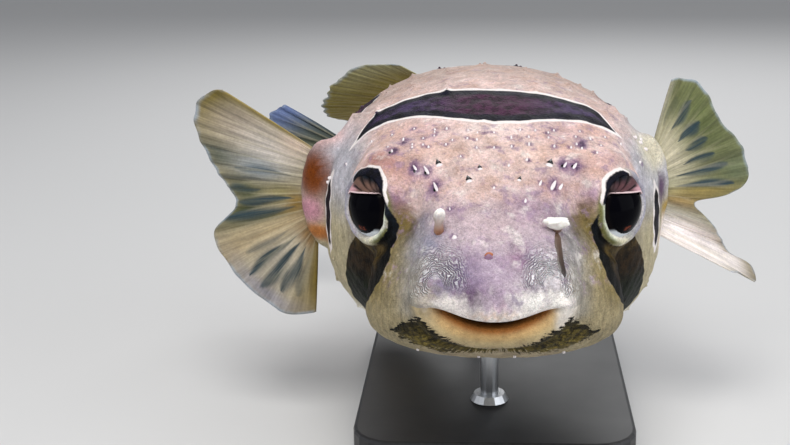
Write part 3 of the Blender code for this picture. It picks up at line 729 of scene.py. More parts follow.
def join(value, slot):
    if isinstance(value, Wire):
        value.tree.links.new(value.socket, slot)
    elif np.ndim(value) == 1 and len(value) == 3 and len(slot.default_value) == 4:
        slot.default_value = (*value, 1.0)
    else:
        slot.default_value = value


def wired(tree, kind, inputs, output=0, **settings):
    """The wire that leaves a new node, once its settings are made and its inputs joined."""
    node = tree.nodes.new("ShaderNode" + kind)
    for word, value in settings.items():
        setattr(node, word, value)
    for slot, value in inputs:
        join(value, node.inputs[slot])
    return Wire(tree, node.outputs[output])


class Finish:
    """A new material and the few nodes that most finishes share."""

    def __init__(self, name, **settings):
        self.material = bpy.data.materials.new(name)
        self.material.use_nodes = True
        self.tree = self.material.node_tree
        self.shader = self.tree.nodes["Principled BSDF"]
        for word, value in settings.items():
            join(value, self.shader.inputs[word.replace("_", " ")])

    def attribute(self, name, output="Fac"):
        return wired(self.tree, "Attribute", (), output, attribute_name=name)

    def place(self):
        return wired(self.tree, "TexCoord", (), "Object")

    def noise(self, place, size, detail=3.0, roughness=0.55, **mapping):
        """Cloudy noise with features about size metres across, unless Scale stretches them."""
        if mapping:
            place = wired(self.tree, "Mapping", (("Vector", place), *mapping.items()))
        return wired(self.tree, "TexNoise", (("Vector", place), ("Scale", 1 / size),
                                             ("Detail", detail), ("Roughness", roughness)))

    def bump(self, height, depth, strength=1.0):
        """Relief of the given depth in metres."""
        normal = wired(self.tree, "Bump",
                       (("Height", height), ("Distance", depth), ("Strength", strength)))
        join(normal, self.shader.inputs["Normal"])

    def colour(self, value):
        join(value, self.shader.inputs["Base Color"])

    def rough(self, value):
        join(value, self.shader.inputs["Roughness"])


def skin_finish():
    """Moist skin: mottled tint, dark markings with white edges, grain and fine wrinkles."""
    finish = Finish("skin", Specular_IOR_Level=0.11, Subsurface_Weight=0.04,
                    Subsurface_Radius=(0.003, 0.0012, 0.0008), Subsurface_Scale=1.0)
    place = finish.place()
    clouds = finish.noise(place, 0.009, 4.0, 0.6)
    patches = finish.noise(place, 0.0036, 4.0, 0.65)
    warm = finish.noise(place, 0.007, 4.0, 0.6, Location=(0.3, 0.1, 0.7))
    cool = finish.noise(place, 0.005, 4.0, 0.65, Location=(0.9, 0.5, 0.2))
    grain = finish.noise(place, 0.0011, 3.0, 0.7)
    dust = finish.noise(place, 0.00045, 2.0, 0.6)
    streaks = finish.noise(place, 0.0014, 3.0, 0.6, Scale=(1.0, 0.5, 0.16))
    violet = finish.attribute("violet")
    warmth = finish.attribute("warmth")
    colour = finish.attribute("tint", "Color")
    colour = colour.mix(TAN, warm.ramp(0.48, 0.66) * warmth * 0.5)
    colour = colour.mix(PALE, warm.ramp(0.46, 0.30) * violet * 0.45)
    colour = colour.mix(MAUVE_GREY, cool.ramp(0.52, 0.68) * violet * 0.6)
    colour = colour.mix(VIOLET, patches.ramp(0.56, 0.74) * violet * 0.4)
    colour = colour.grained(clouds, 0.9).grained(patches, 0.8)
    wrinkle, fold, calm = finish.attribute("wrinkle", "Vector").parts()
    lively = calm * -0.65 + 1.0
    for pattern, gain in ((grain, lively * 1.1), (dust, lively * 0.8),
                          (streaks, finish.attribute("cheek") * 1.1)):
        colour = colour.brighter((pattern - 0.5) * gain + 1.0)

    waver = finish.noise(place, 0.006, 3.0, 0.55)
    wave = ((wrinkle + waver * 8.5) * 6.4).math("SINE") * 0.5 + 0.5
    broken = fold * patches.ramp(0.26, 0.54)
    colour = colour.mix(tone(244, 242, 246), wave.ramp(0.35, 0.95) * broken * 0.88)
    colour = colour.mix(tone(96, 82, 104), wave.ramp(0.4, 0.0) * broken * 0.38)

    spot = finish.attribute("spot") + (grain - 0.5) * 1.6 + (patches - 0.5) * 4.0
    colour = colour.mix(VIOLET, spot.ramp(1.5, -0.8) * 0.7)
    colour = colour.mix(tone(52, 34, 66), spot.ramp(-0.2, -1.4) * 0.75)

    rough = finish.attribute("ragged")
    brush = finish.noise(finish.attribute("brush", "Vector"), 1.1, 4.0, 0.7)
    jag = (grain - 0.5) * 0.9 + (patches - 0.5) * 0.9
    dark = finish.attribute("dark") + jag * rough.math("MINIMUM", 1.0)
    dark = dark + (brush - 0.5) * (rough - 1.0).math("MAXIMUM", 0.0) * 7.5
    white = finish.attribute("edge")
    line = dark.ramp(white + 0.1, white * 0.75 + 0.02)
    colour = colour.mix(tone(240, 232, 230), line * white)
    bold = patches.ramp(0.35, 0.62)
    core = finish.attribute("core", "Color")
    core = core.mix(INK, (dark + (clouds - 0.5) * 4.0).ramp(-5.5, -2.4) * white)
    core = core.brighter(bold * 1.2 + 0.3).grained(grain, 1.6)
    hairs = (brush * 6.0 - 2.0).math("MAXIMUM", 0.15)
    core = core.mix(core.brighter(hairs), (rough - 1.0).ramp(0.2, 1.4))
    colour = colour.mix(core, dark.ramp(0.2, -0.25))
    finish.colour(colour)
    finish.rough(grain * 0.2 + 0.42)
    height = grain * 0.6 + dust * 0.3 + patches * 0.9 + wave * broken * 1.7 + streaks * 0.5
    finish.bump(height, 0.0007, 1.0)
    return finish.material


def fin_finish():
    """Membrane between soft rays: fine lines along them, dark streaks and a pale margin."""
    finish = Finish("fin", Roughness=0.45, Specular_IOR_Level=0.2, Subsurface_Weight=0.08,
                    Subsurface_Radius=(0.002, 0.002, 0.001), Subsurface_Scale=1.0)
    place = finish.place()
    stem, reach, _ = finish.attribute("web", "Vector").parts()
    weave = finish.attribute("weave", "Vector")
    lines = finish.noise(weave, 1.0, 3.0, 0.65, Scale=(2.6, 0.9, 1.0))
    hairs = finish.noise(weave, 1.0, 2.0, 0.6, Scale=(11.0, 1.4, 1.0))
    grain = finish.noise(place, 0.0012, 3.0, 0.65)
    clouds = finish.noise(place, 0.012, 3.0, 0.55)
    colour = finish.attribute("tint", "Color")
    colour = colour.grained(clouds, 0.5).grained(lines, 1.4).grained(hairs, 0.9)
    streak = finish.attribute("streak")
    streak = streak * (lines * 1.8 + 0.1) + (hairs - 0.5) * streak * 1.2
    colour = colour.mix(tone(44, 62, 70), streak.ramp(0.05, 1.2))
    colour = colour.mix(tone(214, 204, 172), stem.ramp(0.5, 1.0) * reach.ramp(1.0, 0.4) * 0.22)
    margin = (reach + (lines - 0.5) * 0.06).ramp(0.95, 1.0)
    colour = colour.mix(tone(158, 172, 190), margin * clouds.ramp(0.3, 0.6) * 0.7)
    finish.colour(colour.grained(grain, 0.6))
    finish.bump(stem * 0.5 + lines * 0.7 + hairs * 0.4 + grain * 0.2, 0.0005, 0.8)
    return finish.material


def eye_finish():
    """A wide black pupil, a thin dark iris and a pale crescent along the lower rim that is a
    painted reflection, under a wet surface.
    """
    finish = Finish("eye", Roughness=0.12, Specular_IOR_Level=0.02)
    across, up, _ = finish.attribute("gaze", "Vector").parts()
    radius = finish.attribute("iris")
    grain = finish.noise(finish.place(), 0.0012, 3.0, 0.7)
    low = (up * -1.0).ramp(6.4, 8.4)
    colour = radius.ramp(9.4, 10.4).pick(tone(5, 5, 9), tone(14, 11, 12))
    fleck = (across - 1.6).math("ABSOLUTE").ramp(2.3, 0.8)
    fleck = fleck * (up + 7.3).math("ABSOLUTE").ramp(1.2, 0.4)
    colour = colour.mix(tone(112, 54, 38), fleck * grain.ramp(0.42, 0.56))
    # Painted reflection: a bluish-white crescent along the eyeball's lower rim.
    reflection_crescent = (radius + (grain - 0.5) * 0.8).ramp(9.6, 9.9) * low
    finish.colour(colour.mix(tone(214, 220, 228), reflection_crescent * 0.95))
    return finish.material


def lid_finish():
    finish = Finish("eyelid", Roughness=0.45, Specular_IOR_Level=0.15)
    grain = finish.noise(finish.place(), 0.0009, 3.0, 0.65)
    fold, margin, _ = finish.attribute("fold", "Vector").parts()
    colour = finish.attribute("tint", "Color").grained(grain, 0.6)
    # The fold grooves turn near-black as painted shade; the pale margin is the lid's own colour.
    finish.colour(colour.mix(tone(14, 9, 10), fold * 0.95).mix(tone(232, 206, 208), margin))
    finish.bump(grain, 0.0003, 0.5)
    return finish.material


def nose_finish():
    finish = Finish("nose", Roughness=0.35, Coat_Weight=0.2, Subsurface_Weight=0.1,
                    Subsurface_Radius=(0.003, 0.0015, 0.001), Subsurface_Scale=1.0)
    grain = finish.noise(finish.place(), 0.001, 3.0, 0.6)
    finish.colour(finish.attribute("tint", "Color").grained(grain, 0.5))
    finish.bump(grain, 0.0003, 0.5)
    return finish.material


def paint_finish():
    finish = Finish("satin_paint", Base_Color=tone(30, 30, 33))
    place = finish.place()
    finish.rough(finish.noise(place, 0.03, 4.0) * 0.16 + 0.36)
    finish.bump(finish.noise(place, 0.0006, 2.0), 0.00006, 0.35)
    return finish.material


def steel_finish():
    finish = Finish("brushed_steel", Base_Color=tone(190, 192, 195), Metallic=1.0)
    brushed = finish.noise(finish.place(), 0.0008, 3.0, 0.6, Scale=(1, 1, 12))
    finish.rough(brushed * 0.22 + 0.2)
    finish.bump(brushed, 0.00003, 0.3)
    return finish.material


def floor_finish():
    finish = Finish("floor", Roughness=0.9, Specular_IOR_Level=0.2)
    cloud = finish.noise(finish.place(), 0.5, 2.0)
    finish.colour(cloud.pick(0.98 * FLOOR_GREY, 1.02 * FLOOR_GREY))
    return finish.material


# ---------------------------------------------------------------- making pieces

def as_mesh(name, bm):
    mesh = bpy.data.meshes.new(name)
    bm.to_mesh(mesh)
    bm.free()
    return mesh


def places_of(mesh):
    places = np.empty(len(mesh.vertices) * 3, np.float32)
    mesh.vertices.foreach_get("co", places)
    return places.reshape(-1, 3).astype(float)


def ball(name, around, rings, radius=1.0):
    """A new sphere and the places of its vertices."""
    bm = bmesh.new()
    bmesh.ops.create_uvsphere(bm, u_segments=around, v_segments=rings, radius=radius)
    mesh = as_mesh(name, bm)
    return mesh, places_of(mesh)


def sheet(name, across, up, size=0.5):
    """A new flat grid and the places of its vertices."""
    bm = bmesh.new()
    bmesh.ops.create_grid(bm, x_segments=across, y_segments=up, size=size)
    mesh = as_mesh(name, bm)
    return mesh, places_of(mesh)


def put_at(mesh, points):
    mesh.vertices.foreach_set("co", np.asarray(points, np.float32).ravel())
    mesh.update()


VECTORS = ("wrinkle", "web", "weave", "gaze", "fold", "brush")


def store(mesh, **attributes):
    """Keeps numbers, vectors or colours at the vertices, for the material to read."""
    for name, values in attributes.items():
        values = np.asarray(values, np.float32)
        kind, word = ("FLOAT", "value") if values.ndim == 1 else ("FLOAT_VECTOR", "vector")
        if values.ndim > 1 and name not in VECTORS:
            kind, word = "FLOAT_COLOR", "color"
            values = np.column_stack((values, np.ones(len(values), np.float32)))
        mesh.attributes.new(name, kind, "POINT").data.foreach_set(word, values.ravel())


def outward(mesh):
    """Turns the faces out, by the sign of the closed mesh's volume."""
    bm = bmesh.new()
    bm.from_mesh(mesh)
    bmesh.ops.recalc_face_normals(bm, faces=bm.faces)
    if bm.calc_volume(signed=True) < 0:
        bmesh.ops.reverse_faces(bm, faces=bm.faces)
    bm.to_mesh(mesh)
    bm.free()


def finished(name, mesh, material, slot, *replaced):
    """Links the piece, has it ride on the model's one body and hides the nodes it stands for."""
    mesh.shade_smooth()
    mesh.materials.append(material)
    piece = bpy.data.objects.new(name, mesh)
    bpy.context.scene.collection.objects.link(piece)
    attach(piece, "root")
    if replaced:
        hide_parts(*replaced)
    return piece


def thickened(piece, thickness, offset):
    """Gives a sheet its thickness in millimetres."""
    solid = piece.modifiers.new("Thickness", "SOLIDIFY")
    solid.thickness = thickness * MM
    solid.offset = offset
    return solid


# Rings of skin: share of all rings spent by the time a station is reached
RING_SHARES = (0.0, 0.015, 0.05, 0.19, 0.33, 0.60, 0.72, 0.88, 1.0)
RING_STATIONS = (0.0, 0.7, 1.3, 5.0, 7.5, 11.2, 13.0, 16.0, 19.0)
SKIN_RINGS = 300
SKIN_AROUND = 324

FOLD_CENTRE = np.array((20.3, -43.6, -15.2))  # where the wrinkles beside the mouth turn round
MOUTH_MIDDLE = (0.0, -27.0)  # x and z
MOUND = 0.9  # how far the skin swells over a spine's root


def paint_skin(mesh, points, t, upper):
    """Stores everything the skin's material reads, worked out from the straight fish."""
    dark, edge, ragged, core = dark_markings(points)
    x, y, z = points.T
    side = np.abs(x)
    head = ramp(62, 46, side) * ramp(-26, -16, z)
    cheek = ramp(20, 28, side) * ramp(4, -6, z) * ramp(60, 20, y)
    spots = [np.linalg.norm((points - centre) / (1.0, 1.4, 1.4), axis=1) - 1.9 for centre in SPOTS]
    spots += [1.35 * np.linalg.norm(points - drop[0], axis=1) - 1.2 for drop in HEAD_DROPS]
    ring = np.linalg.norm((mirrored(points) - FOLD_CENTRE) * (1.0, 0.8, 1.0), axis=1)
    lean = side - FOLD_CENTRE[0]
    fold = ramp(2.2, 4.0, ring) * ramp(17.5, 6.0, ring) * ramp(3.5, 4.2, t)
    fold *= 1 - 0.6 * ramp(3, 8, lean) - 0.8 * ramp(-7, -13, lean)
    fold *= ramp(0, 5, z - FOLD_CENTRE[2] + 0.9 * np.maximum(lean, -1.0) + 3.0)
    calm = ramp(4.3, 3.5, t) * ~upper
    from_mouth = np.array((x - MOUTH_MIDDLE[0], z - MOUTH_MIDDLE[1]))
    turn = np.arctan2(from_mouth[1], from_mouth[0])
    away = np.hypot(*from_mouth)
    store(mesh, dark=dark, edge=edge, ragged=ragged, core=core, tint=skin_tint(points, t, upper),
          violet=head * (0.45 + 0.55 * ramp(90, 30, y)), warmth=head * ramp(4, 12, z),
          cheek=cheek, spot=np.minimum.reduce(spots), wrinkle=np.column_stack((ring, fold, calm)),
          brush=np.column_stack((turn * 26.0, away / 3.5, 0 * turn)))


def with_relief(points, t, angle):
    """Low mounds over the trunk's spines, a groove under the lower lip and a gentle unevenness."""
    x, y, z = points.T
    out = points - np.column_stack((0 * x, y + 6 * ramp(0, -40, y), -18 + 0 * z))
    out /= np.linalg.norm(out, axis=1)[:, None]
    rise = 0.16 * np.sin(0.55 * x + 1.3 * np.sin(0.21 * y)) * np.sin(0.47 * y + 0.6 * z)
    rise += 0.12 * np.sin(0.9 * y - 0.8 * z + 1.1 * np.sin(0.35 * x))
    for spine_t, spine_angle, length, thick in SPINES:
        here, back, _ = frame_at(spine_t, spine_angle)
        near = np.abs(y - here[1] - length / 2) < length / 2 + 6
        offset = points[near] - here
        along = np.clip(offset @ back, -1.0, 0.62 * length)
        gap = np.linalg.norm(offset - along[:, None] * back, axis=1)
        fade = 1 - 0.6 * np.clip(along / length, 0, 1)
        rise[near] += MOUND * fade * np.exp(-(gap / (1.6 * thick)) ** 2)
    below = ramp(-0.1, -0.5, np.sin(angle))
    groove = np.exp(-(((t - 4.35) / 0.3) ** 2)) * below * ramp(34, 24, np.abs(x))
    return points + out * (rise * ramp(3.0, 5.0, t) - 0.9 * groove)[:, None]


def skin():
    mesh, sphere = ball("skin", SKIN_AROUND, SKIN_RINGS)
    share = np.arccos(np.clip(sphere[:, 2], -1, 1)) / math.pi
    t = np.interp(share, RING_SHARES, RING_STATIONS)
    angle = np.arctan2(sphere[:, 1], sphere[:, 0])
    points = skin_points(t, angle)
    put_at(mesh, bent(with_relief(points, t, angle)))
    paint_skin(mesh, points, t, np.sin(angle) > 0)
    outward(mesh)
    finished("skin", mesh, skin_finish(), "skin", "head", "upper_jaw", "lower_jaw", "back",
             "belly", "tail_stalk", "pectoral_lobe_right", "pectoral_lobe_left")


def skin_frames(t, angle):
    """Points of the straight skin, the way back along it and its outward direction."""
    step = 0.02
    here = straight_points(t, angle)
    back = straight_points(t + step, angle) - here
    around = straight_points(t, angle + step) - here
    back /= np.linalg.norm(back, axis=1)[:, None]
    out = np.cross(around, back)
    return here, back, out / np.linalg.norm(out, axis=1)[:, None]


def frame_at(t, angle):
    """The same for one place."""
    return [found[0] for found in skin_frames(np.array([t]), np.array([angle]))]


def ring_places(first, rings, turned):
    """Stations and angles of rings of spines, every other one turned by half a step."""
    ring, number_in_ring = np.divmod(np.arange(rings * SPINES_ROUND), SPINES_ROUND)
    steps = number_in_ring + 0.5 * ((ring + turned) % 2)
    return zip(first + ring * RING_STEP, steps * math.tau / SPINES_ROUND)


def spine_rows():
    """The trunk's spines: station, angle, length and thickness of each.

    The long ones stand in staggered rings clear of the pectoral lobes, and shorter ones fill the
    gaps between them, the nape and the tail.
    """
    places = [(*place, False) for place in ring_places(LONG_FIRST, LONG_RINGS, 0)]
    places += [(*place, True) for place in ring_places(SHORT_FIRST, SHORT_RINGS, 1)]
    drift = random.Random(7)
    found = []
    for t, angle, short in places:
        length, thick = LONG_LENGTH, LONG_THICK
        if short:
            length = SHORT_LENGTH + drift.uniform(-SHORT_LENGTH_DRIFT, SHORT_LENGTH_DRIFT)
            thick = SHORT_THICK
        turn = angle + drift.uniform(-SHORT_TURN_DRIFT, SHORT_TURN_DRIFT) * short
        here, back, _ = frame_at(t, turn)
        middle = Vector(here + length / 2 * back)
        near = min((middle - lobe).length for lobe in PECTORAL_LOBE_MIDDLE.values())
        from_marking = dark_markings(here[None])[0][0]
        if near < LOBE_CLEAR or (short and t < NAPE_END and from_marking < NAPE_CLEAR):
            continue
        found.append((t, turn, length, thick))
    return found


def numbered_mesh():
    """An empty mesh whose vertices carry the number of the small part they belong to."""
    bm = bmesh.new()
    bm.verts.layers.int.new("part")
    return bm


def numbered(bm, value):
    """Gives the vertices that have no number yet this one, and returns them."""
    layer = bm.verts.layers.int["part"]
    fresh = [vertex for vertex in bm.verts if vertex[layer] == 0]
    for vertex in fresh:
        vertex[layer] = value + 1
    return fresh


def numbers_of(mesh):
    found = np.empty(len(mesh.vertices), np.int32)
    mesh.attributes["part"].data.foreach_get("value", found)
    mesh.attributes.remove(mesh.attributes["part"])
    return found - 1


def spike(bm, value, foot, way, out, length, thick, tip=0.15, bow=0.0):
    """One tapered spine with a round tip, bowed outwards if bow is given."""
    bmesh.ops.create_uvsphere(bm, u_segments=7, v_segments=8, radius=1.0)
    across = way.cross(out).normalized()
    for vertex in numbered(bm, value):
        share = 0.5 + 0.5 * vertex.co.z
        rounding = math.sqrt(max(1.0 - vertex.co.z ** 2, 0.0)) ** 0.35
        size = rounding * (tip + (thick - tip) * (1 - share) ** 0.8)
        turn = math.atan2(vertex.co.y, vertex.co.x)
        centre = foot + way * (length * share) + out * (bow * math.sin(math.pi * share))
        vertex.co = centre + across * (size * math.cos(turn)) + out * (size * math.sin(turn))


def trunk_spines():
    """A joined mesh of spines; each carries the markings found at its root."""
    bm = numbered_mesh()
    roots = []
    for t, angle, length, thick in SPINES:
        here, back, out = map(Vector, frame_at(t, angle))
        way = (math.cos(SPINE_LIFT) * back + math.sin(SPINE_LIFT) * out).normalized()
        foot = here - SPINE_DEPTH * out
        spike(bm, len(roots), foot, way, out, length, thick, SPINE_TIP, SPINE_BOW)
        roots.append(tuple(here))
    mesh = as_mesh("trunk_spines", bm)
    straight = places_of(mesh)
    spine = numbers_of(mesh)
    root = np.array(roots)[spine]
    t, angle, length, _ = np.array(SPINES)[spine].T
    put_at(mesh, bent(straight))
    paint_skin(mesh, root, t, np.ones(len(root), bool))
    store(mesh, tip=np.linalg.norm(straight - root, axis=1) / length)
    spread = SPINE_PATCH * (straight - root)[:, :2] / (2 * LONG_LENGTH)
    uv = np.column_stack(((angle / math.tau) % 1.0, t / LAST_STATION)) + spread
    layer = mesh.uv_layers.new(name="OFBake")
    index = np.empty(len(mesh.loops), np.int32)
    mesh.loops.foreach_get("vertex_index", index)
    layer.data.foreach_set("uv", uv[index].astype(np.float32).ravel())
    outward(mesh)
    finished("trunk_spines", mesh, spine_finish(), "skin")


def spine_finish():
    """Spines take the skin's colours at the root and turn ivory towards the tip."""
    finish = Finish("spine", Roughness=0.35, Coat_Weight=0.15)
    grain = finish.noise(finish.place(), 0.001, 3.0, 0.6)
    dark = finish.attribute("dark").ramp(0.2, -0.4)
    colour = finish.attribute("tint", "Color").mix(finish.attribute("core", "Color"), dark)
    colour = colour.mix(tone(236, 228, 210), finish.attribute("tip").ramp(0.12, 0.6) * 0.95)
    finish.colour(colour.grained(grain, 0.5))
    finish.bump(grain, 0.0003, 0.4)
    return finish.material


# The head's skin as a net of stations and angles, to find the nearest place on it
NET_T = np.repeat(np.linspace(3, 13, 201), 181)
NET_ANGLE = np.tile(np.linspace(-math.pi, math.pi, 181), 201)
NET = straight_points(NET_T, NET_ANGLE)


def on_skin(place):
    """The nearest place on the head's skin, with its backward and outward directions."""
    best = int(np.argmin(np.linalg.norm(NET - np.array(place), axis=1)))
    return [Vector(found) for found in frame_at(NET_T[best], NET_ANGLE[best])]


# Soft violet spots of the forehead
SPOTS = ((-29.6, -4.2, 17.4), (-25.0, -6.4, 16.2), (-21.6, -11.6, 12.0), (-37.9, 4.6, 21.8),
         (25.4, -3.8, 18.4), (30.2, -3.5, 17.9), (22.0, -11.0, 12.3), (-34, 10, 24), (33, 8, 23.6))


DROPS_OVER = 24.0  # from here they fall to the nearest skin


def small_drops():
    """Fine white drops in loose rows over the forehead, their white partly a painted highlight."""
    drift = random.Random(3)
    found = []
    for row, y in enumerate((2.0, 8.0, 14.0)):
        for x in range(-40 + 4 * (row % 2), 41, 8):
            across = x + drift.uniform(-2.5, 2.5)
            back = y + 0.16 * abs(x) + drift.uniform(-1.5, 1.5)
            place = tuple(on_skin((across, back, DROPS_OVER))[0])
            found.append((place, drift.uniform(1.3, 2.0), 0.6))
    return tuple(found)


# Small folded spines of the head, seen as wet drops whose white is partly their own and partly a
# painted highlight:
# place, length, width, and True where a dark pit lies beside it
HEAD_DROPS = (
    ((-29.3, -4.6, 17.2), 3.2, 0.75, True), ((-25.6, -5.9, 16.5), 4.6, 0.8, True),
    ((-21.9, -11.5, 12.0), 5.0, 0.8, True), ((-37.9, 4.6, 21.8), 2.2, 0.6, True),
    ((25.7, -3.6, 18.5), 3.2, 0.7, True), ((29.8, -3.5, 17.9), 3.4, 0.8, True),
    ((21.2, -11.3, 12.5), 5.2, 1.0), ((16.9, -11.9, 13.3), 3.4, 0.7),
    ((24.2, -10.4, 11.5), 3.6, 0.9), ((-0.2, -15, 12.7), 1.6, 0.7),
    ((-12.3, -1.6, 21), 1.6, 0.6), ((12.6, -3.4, 20), 1.8, 0.7),
    ((-6.8, 2.8, 23.3), 1.5, 0.5), ((14.1, 4.5, 23.9), 1.5, 0.5),
    ((4.1, -5.7, 18.8), 1.8, 0.7), ((-15.4, 7.8, 25.1), 1.6, 0.5),
    ((-30.9, 5.5, 23), 1.8, 0.6), ((-24.6, 4.7, 23.3), 1.8, 0.6),
    ((23.4, 4.5, 23.3), 1.8, 0.6), ((28.2, 4.8, 23), 1.8, 0.6),
    ((33.5, 5.0, 22.5), 1.8, 0.6), ((37.6, 3.2, 21.0), 1.8, 0.6),
    ((-35.0, 12.0, 24.5), 1.8, 0.6), ((-5.0, 12.0, 27.0), 1.6, 0.5),
    ((8.0, 10.0, 26.5), 1.6, 0.5), ((20.0, 13.0, 26.8), 1.6, 0.5),
    ((-22.0, 14.0, 27.0), 1.6, 0.5), ((36.0, 14.0, 25.5), 1.8, 0.6),
    ((-47.6, 25.0, 20.5), 2.4, 0.7), ((48.0, 24.0, 20.0), 2.4, 0.7),
    ((-59.0, 33.0, 10.0), 2.6, 0.8), ((58.0, 30.0, 11.0), 2.6, 0.8),
    ((-16.0, -22.0, 6.5), 1.8, 0.5), ((11.0, -20.0, 8.5), 2.4, 0.7),
    ((-14.6, -32.3, -1.3), 2.0, 1.2),
) + small_drops()
# Open pores of the forehead: place and width
PORES = (((-20.6, -3.4, 19.4), 2.6), ((-8.9, -11, 15.1), 2.6), ((-2.8, -6.3, 18.4), 1.9),
         ((8.6, -11.1, 15.0), 1.7), ((20.1, -3.2, 19.5), 2.8))
# White spine tips in front of the pectoral lobes and along the edge of the chin: how deep they
# stand in the skin, how far they lean upwards, length, thickness and places
BARE_TIPS = (
    (0.8, 0.5, 4.6, 1.0, ((57, 43, 18), (59, 45, 15), (60.5, 47, 12), (62, 50, 17), (-63, 58, 20),
                          (-65, 60, 17), (-67, 48, 1), (-67.5, 49, -2))),
    (0.6, 0.0, 3.0, 0.8, ((-28.5, -27.0, -46.4), (-6.0, -36.0, -45.2), (6.6, -36.0, -45.2),
                          (25.6, -28.0, -46.2))),
)


def drop(bm, value, centre, across, up, out, sizes):
    """A flattened bead that tapers upwards."""
    bmesh.ops.create_uvsphere(bm, u_segments=10, v_segments=8, radius=1.0)
    for vertex in numbered(bm, value):
        x, y, z = vertex.co
        place = centre + across * (x * sizes[0] * (1.0 - 0.3 * z))
        vertex.co = place + out * (y * sizes[2]) + up * (z * sizes[1])


# The last tint is the mauve of the painted shadow under the snout's wart.
DROP_TINTS = np.array((tone(234, 226, 228), tone(8, 6, 8), tone(176, 106, 66), tone(136, 104, 130)))
WHITE, DARK, ORANGE, WART_SHADOW = range(4)


def tinted(name, bm, material, slot):
    """Finishes a mesh of drops and spikes, each in the tint its number stands for."""
    mesh = as_mesh(name, bm)
    put_at(mesh, bent(places_of(mesh)))
    store(mesh, tint=DROP_TINTS[numbers_of(mesh)])
    outward(mesh)
    finished(name, mesh, material, slot)


def head_drops():
    """Wet white spine tips, their white partly a painted highlight, the dark pits beside some of
    them, and the open pores.
    """
    bm = numbered_mesh()
    for place, length, width, *pit in HEAD_DROPS:
        here, back, out = on_skin(place)
        across = back.cross(out).normalized()
        if pit:
            low = here - 1.0 * back + 0.8 * across
            drop(bm, DARK, low, across, back, out, (0.55, 0.9, 0.14))
        sizes = (width * 0.75, length / 2, 0.55)
        drop(bm, WHITE, here + 0.15 * out, across, back, out, sizes)
    for place, width in PORES:
        here, back, out = on_skin(place)
        across = back.cross(out).normalized()
        bmesh.ops.create_cone(bm, cap_ends=True, segments=3, radius1=1.0, radius2=0.8, depth=0.5)
        for vertex in numbered(bm, DARK):
            x, y, z = vertex.co
            vertex.co = here + across * (x * width * 0.55) + back * (y * width * 0.6) + out * z
        low = here - 0.55 * width * back + 0.1 * out
        drop(bm, WHITE, low, across, back, out, (0.5 * width, 0.34 * width, 0.45))
    for depth, lean, length, thick, places in BARE_TIPS:
        for place in places:
            here, _, out = on_skin(place)
            way = (out + Vector((0, 0, lean))).normalized()
            spike(bm, WHITE, here - depth * out, way, Vector((0, -1, 0)), length, thick)
    finish = Finish("wet_drop", Roughness=0.2, Coat_Weight=0.3)
    grain = finish.noise(finish.place(), 0.0008, 2.0)
    finish.colour(finish.attribute("tint", "Color").grained(grain, 0.4))
    tinted("head_drops", bm, finish.material, "skin")


# ---------------------------------------------------------------- fins

RAY_COLUMNS = 12
RAY_ROWS = 44
FIN_THICK = 1.1


def along_rows(rows, share):
    """The smooth tilt, sweep and length of the rays that start at these shares of the root."""
    table = np.array(rows, float)
    k = np.clip(np.searchsorted(table[:, 0], share, side="right") - 1, 0, len(table) - 2)
    u = (share - table[k, 0]) / (table[k + 1, 0] - table[k, 0])
    return smooth_columns(table[:, 1:], k, u)


def fin(name, rows, root, out, back, across, rays, curl, look, replaced):
    """A fin: rays leave root(share) along out, tilted towards across and swept towards back."""
    mesh, grid = sheet(name, rays * RAY_COLUMNS, RAY_ROWS)
    share, reach = grid[:, 0] + 0.5, grid[:, 1] + 0.5
    tilt, sweep, length = along_rows(rows, share)
    tilt, sweep = np.radians(tilt)[:, None], np.radians(sweep)[:, None]
    out, back, across = np.array(out, float), np.array(back, float), np.array(across, float)
    level = np.cos(tilt) * out + np.sin(tilt) * across
    ray = np.cos(sweep) * level + np.sin(sweep) * back
    flat = np.cos(sweep) * back - np.sin(sweep) * level
    offset = (share * rays) % 1.0 - 0.5
    branch = 0.24 * ramp(0.42, 1.0, reach)
    spread = np.abs(np.abs(offset) - branch)
    stem = np.exp(-((spread / (0.20 - 0.06 * reach)) ** 2))
    swell = 0.7 + 0.5 * np.sin(2.7 * np.floor(share * rays) + 1.0)
    ridge = 0.8 * swell * np.cos(math.tau * offset) * np.minimum(1.0, 2 * reach) * (1 - 0.3 * reach)
    ridge += 0.7 * np.sin(5.0 * share + 4.0 * reach) * reach
    worn = 0.007 * np.cos(math.tau * offset) + 0.010 * np.sin(31 * share + 2)
    worn += 0.006 * np.sin(83 * share)
    places = root(share) + ray * (length * reach * (1.0 + worn * reach))[:, None]
    places += flat * (ridge + curl * reach * reach)[:, None]
    put_at(mesh, bent(places))
    base, clouds, streaks = look
    tint = np.tile(tone(*base), (len(share), 1))
    for at, away, half, far, colour in clouds:
        near = ((share - at) / half) ** 2 + ((reach - away) / far) ** 2
        tint = mixed(tint, tone(*colour), np.exp(-near))
    store(mesh, tint=tint, streak=streak_share(streaks, share, reach),
          web=np.column_stack((stem, reach, share)),
          weave=np.column_stack((share * rays, reach, 0 * share)))
    made = finished(name, mesh, FIN, "fin", replaced)
    group = made.vertex_groups.new(name="rays")
    full = 0.42 + 0.58 * stem * (1 - 0.55 * reach)
    for index, weight in enumerate(full * (1 - 0.45 * ramp(0.9, 1.0, reach))):
        group.add([index], float(weight), "REPLACE")
    solid = thickened(made, FIN_THICK, 0.0)
    solid.vertex_group = group.name
    solid.use_even_offset = False


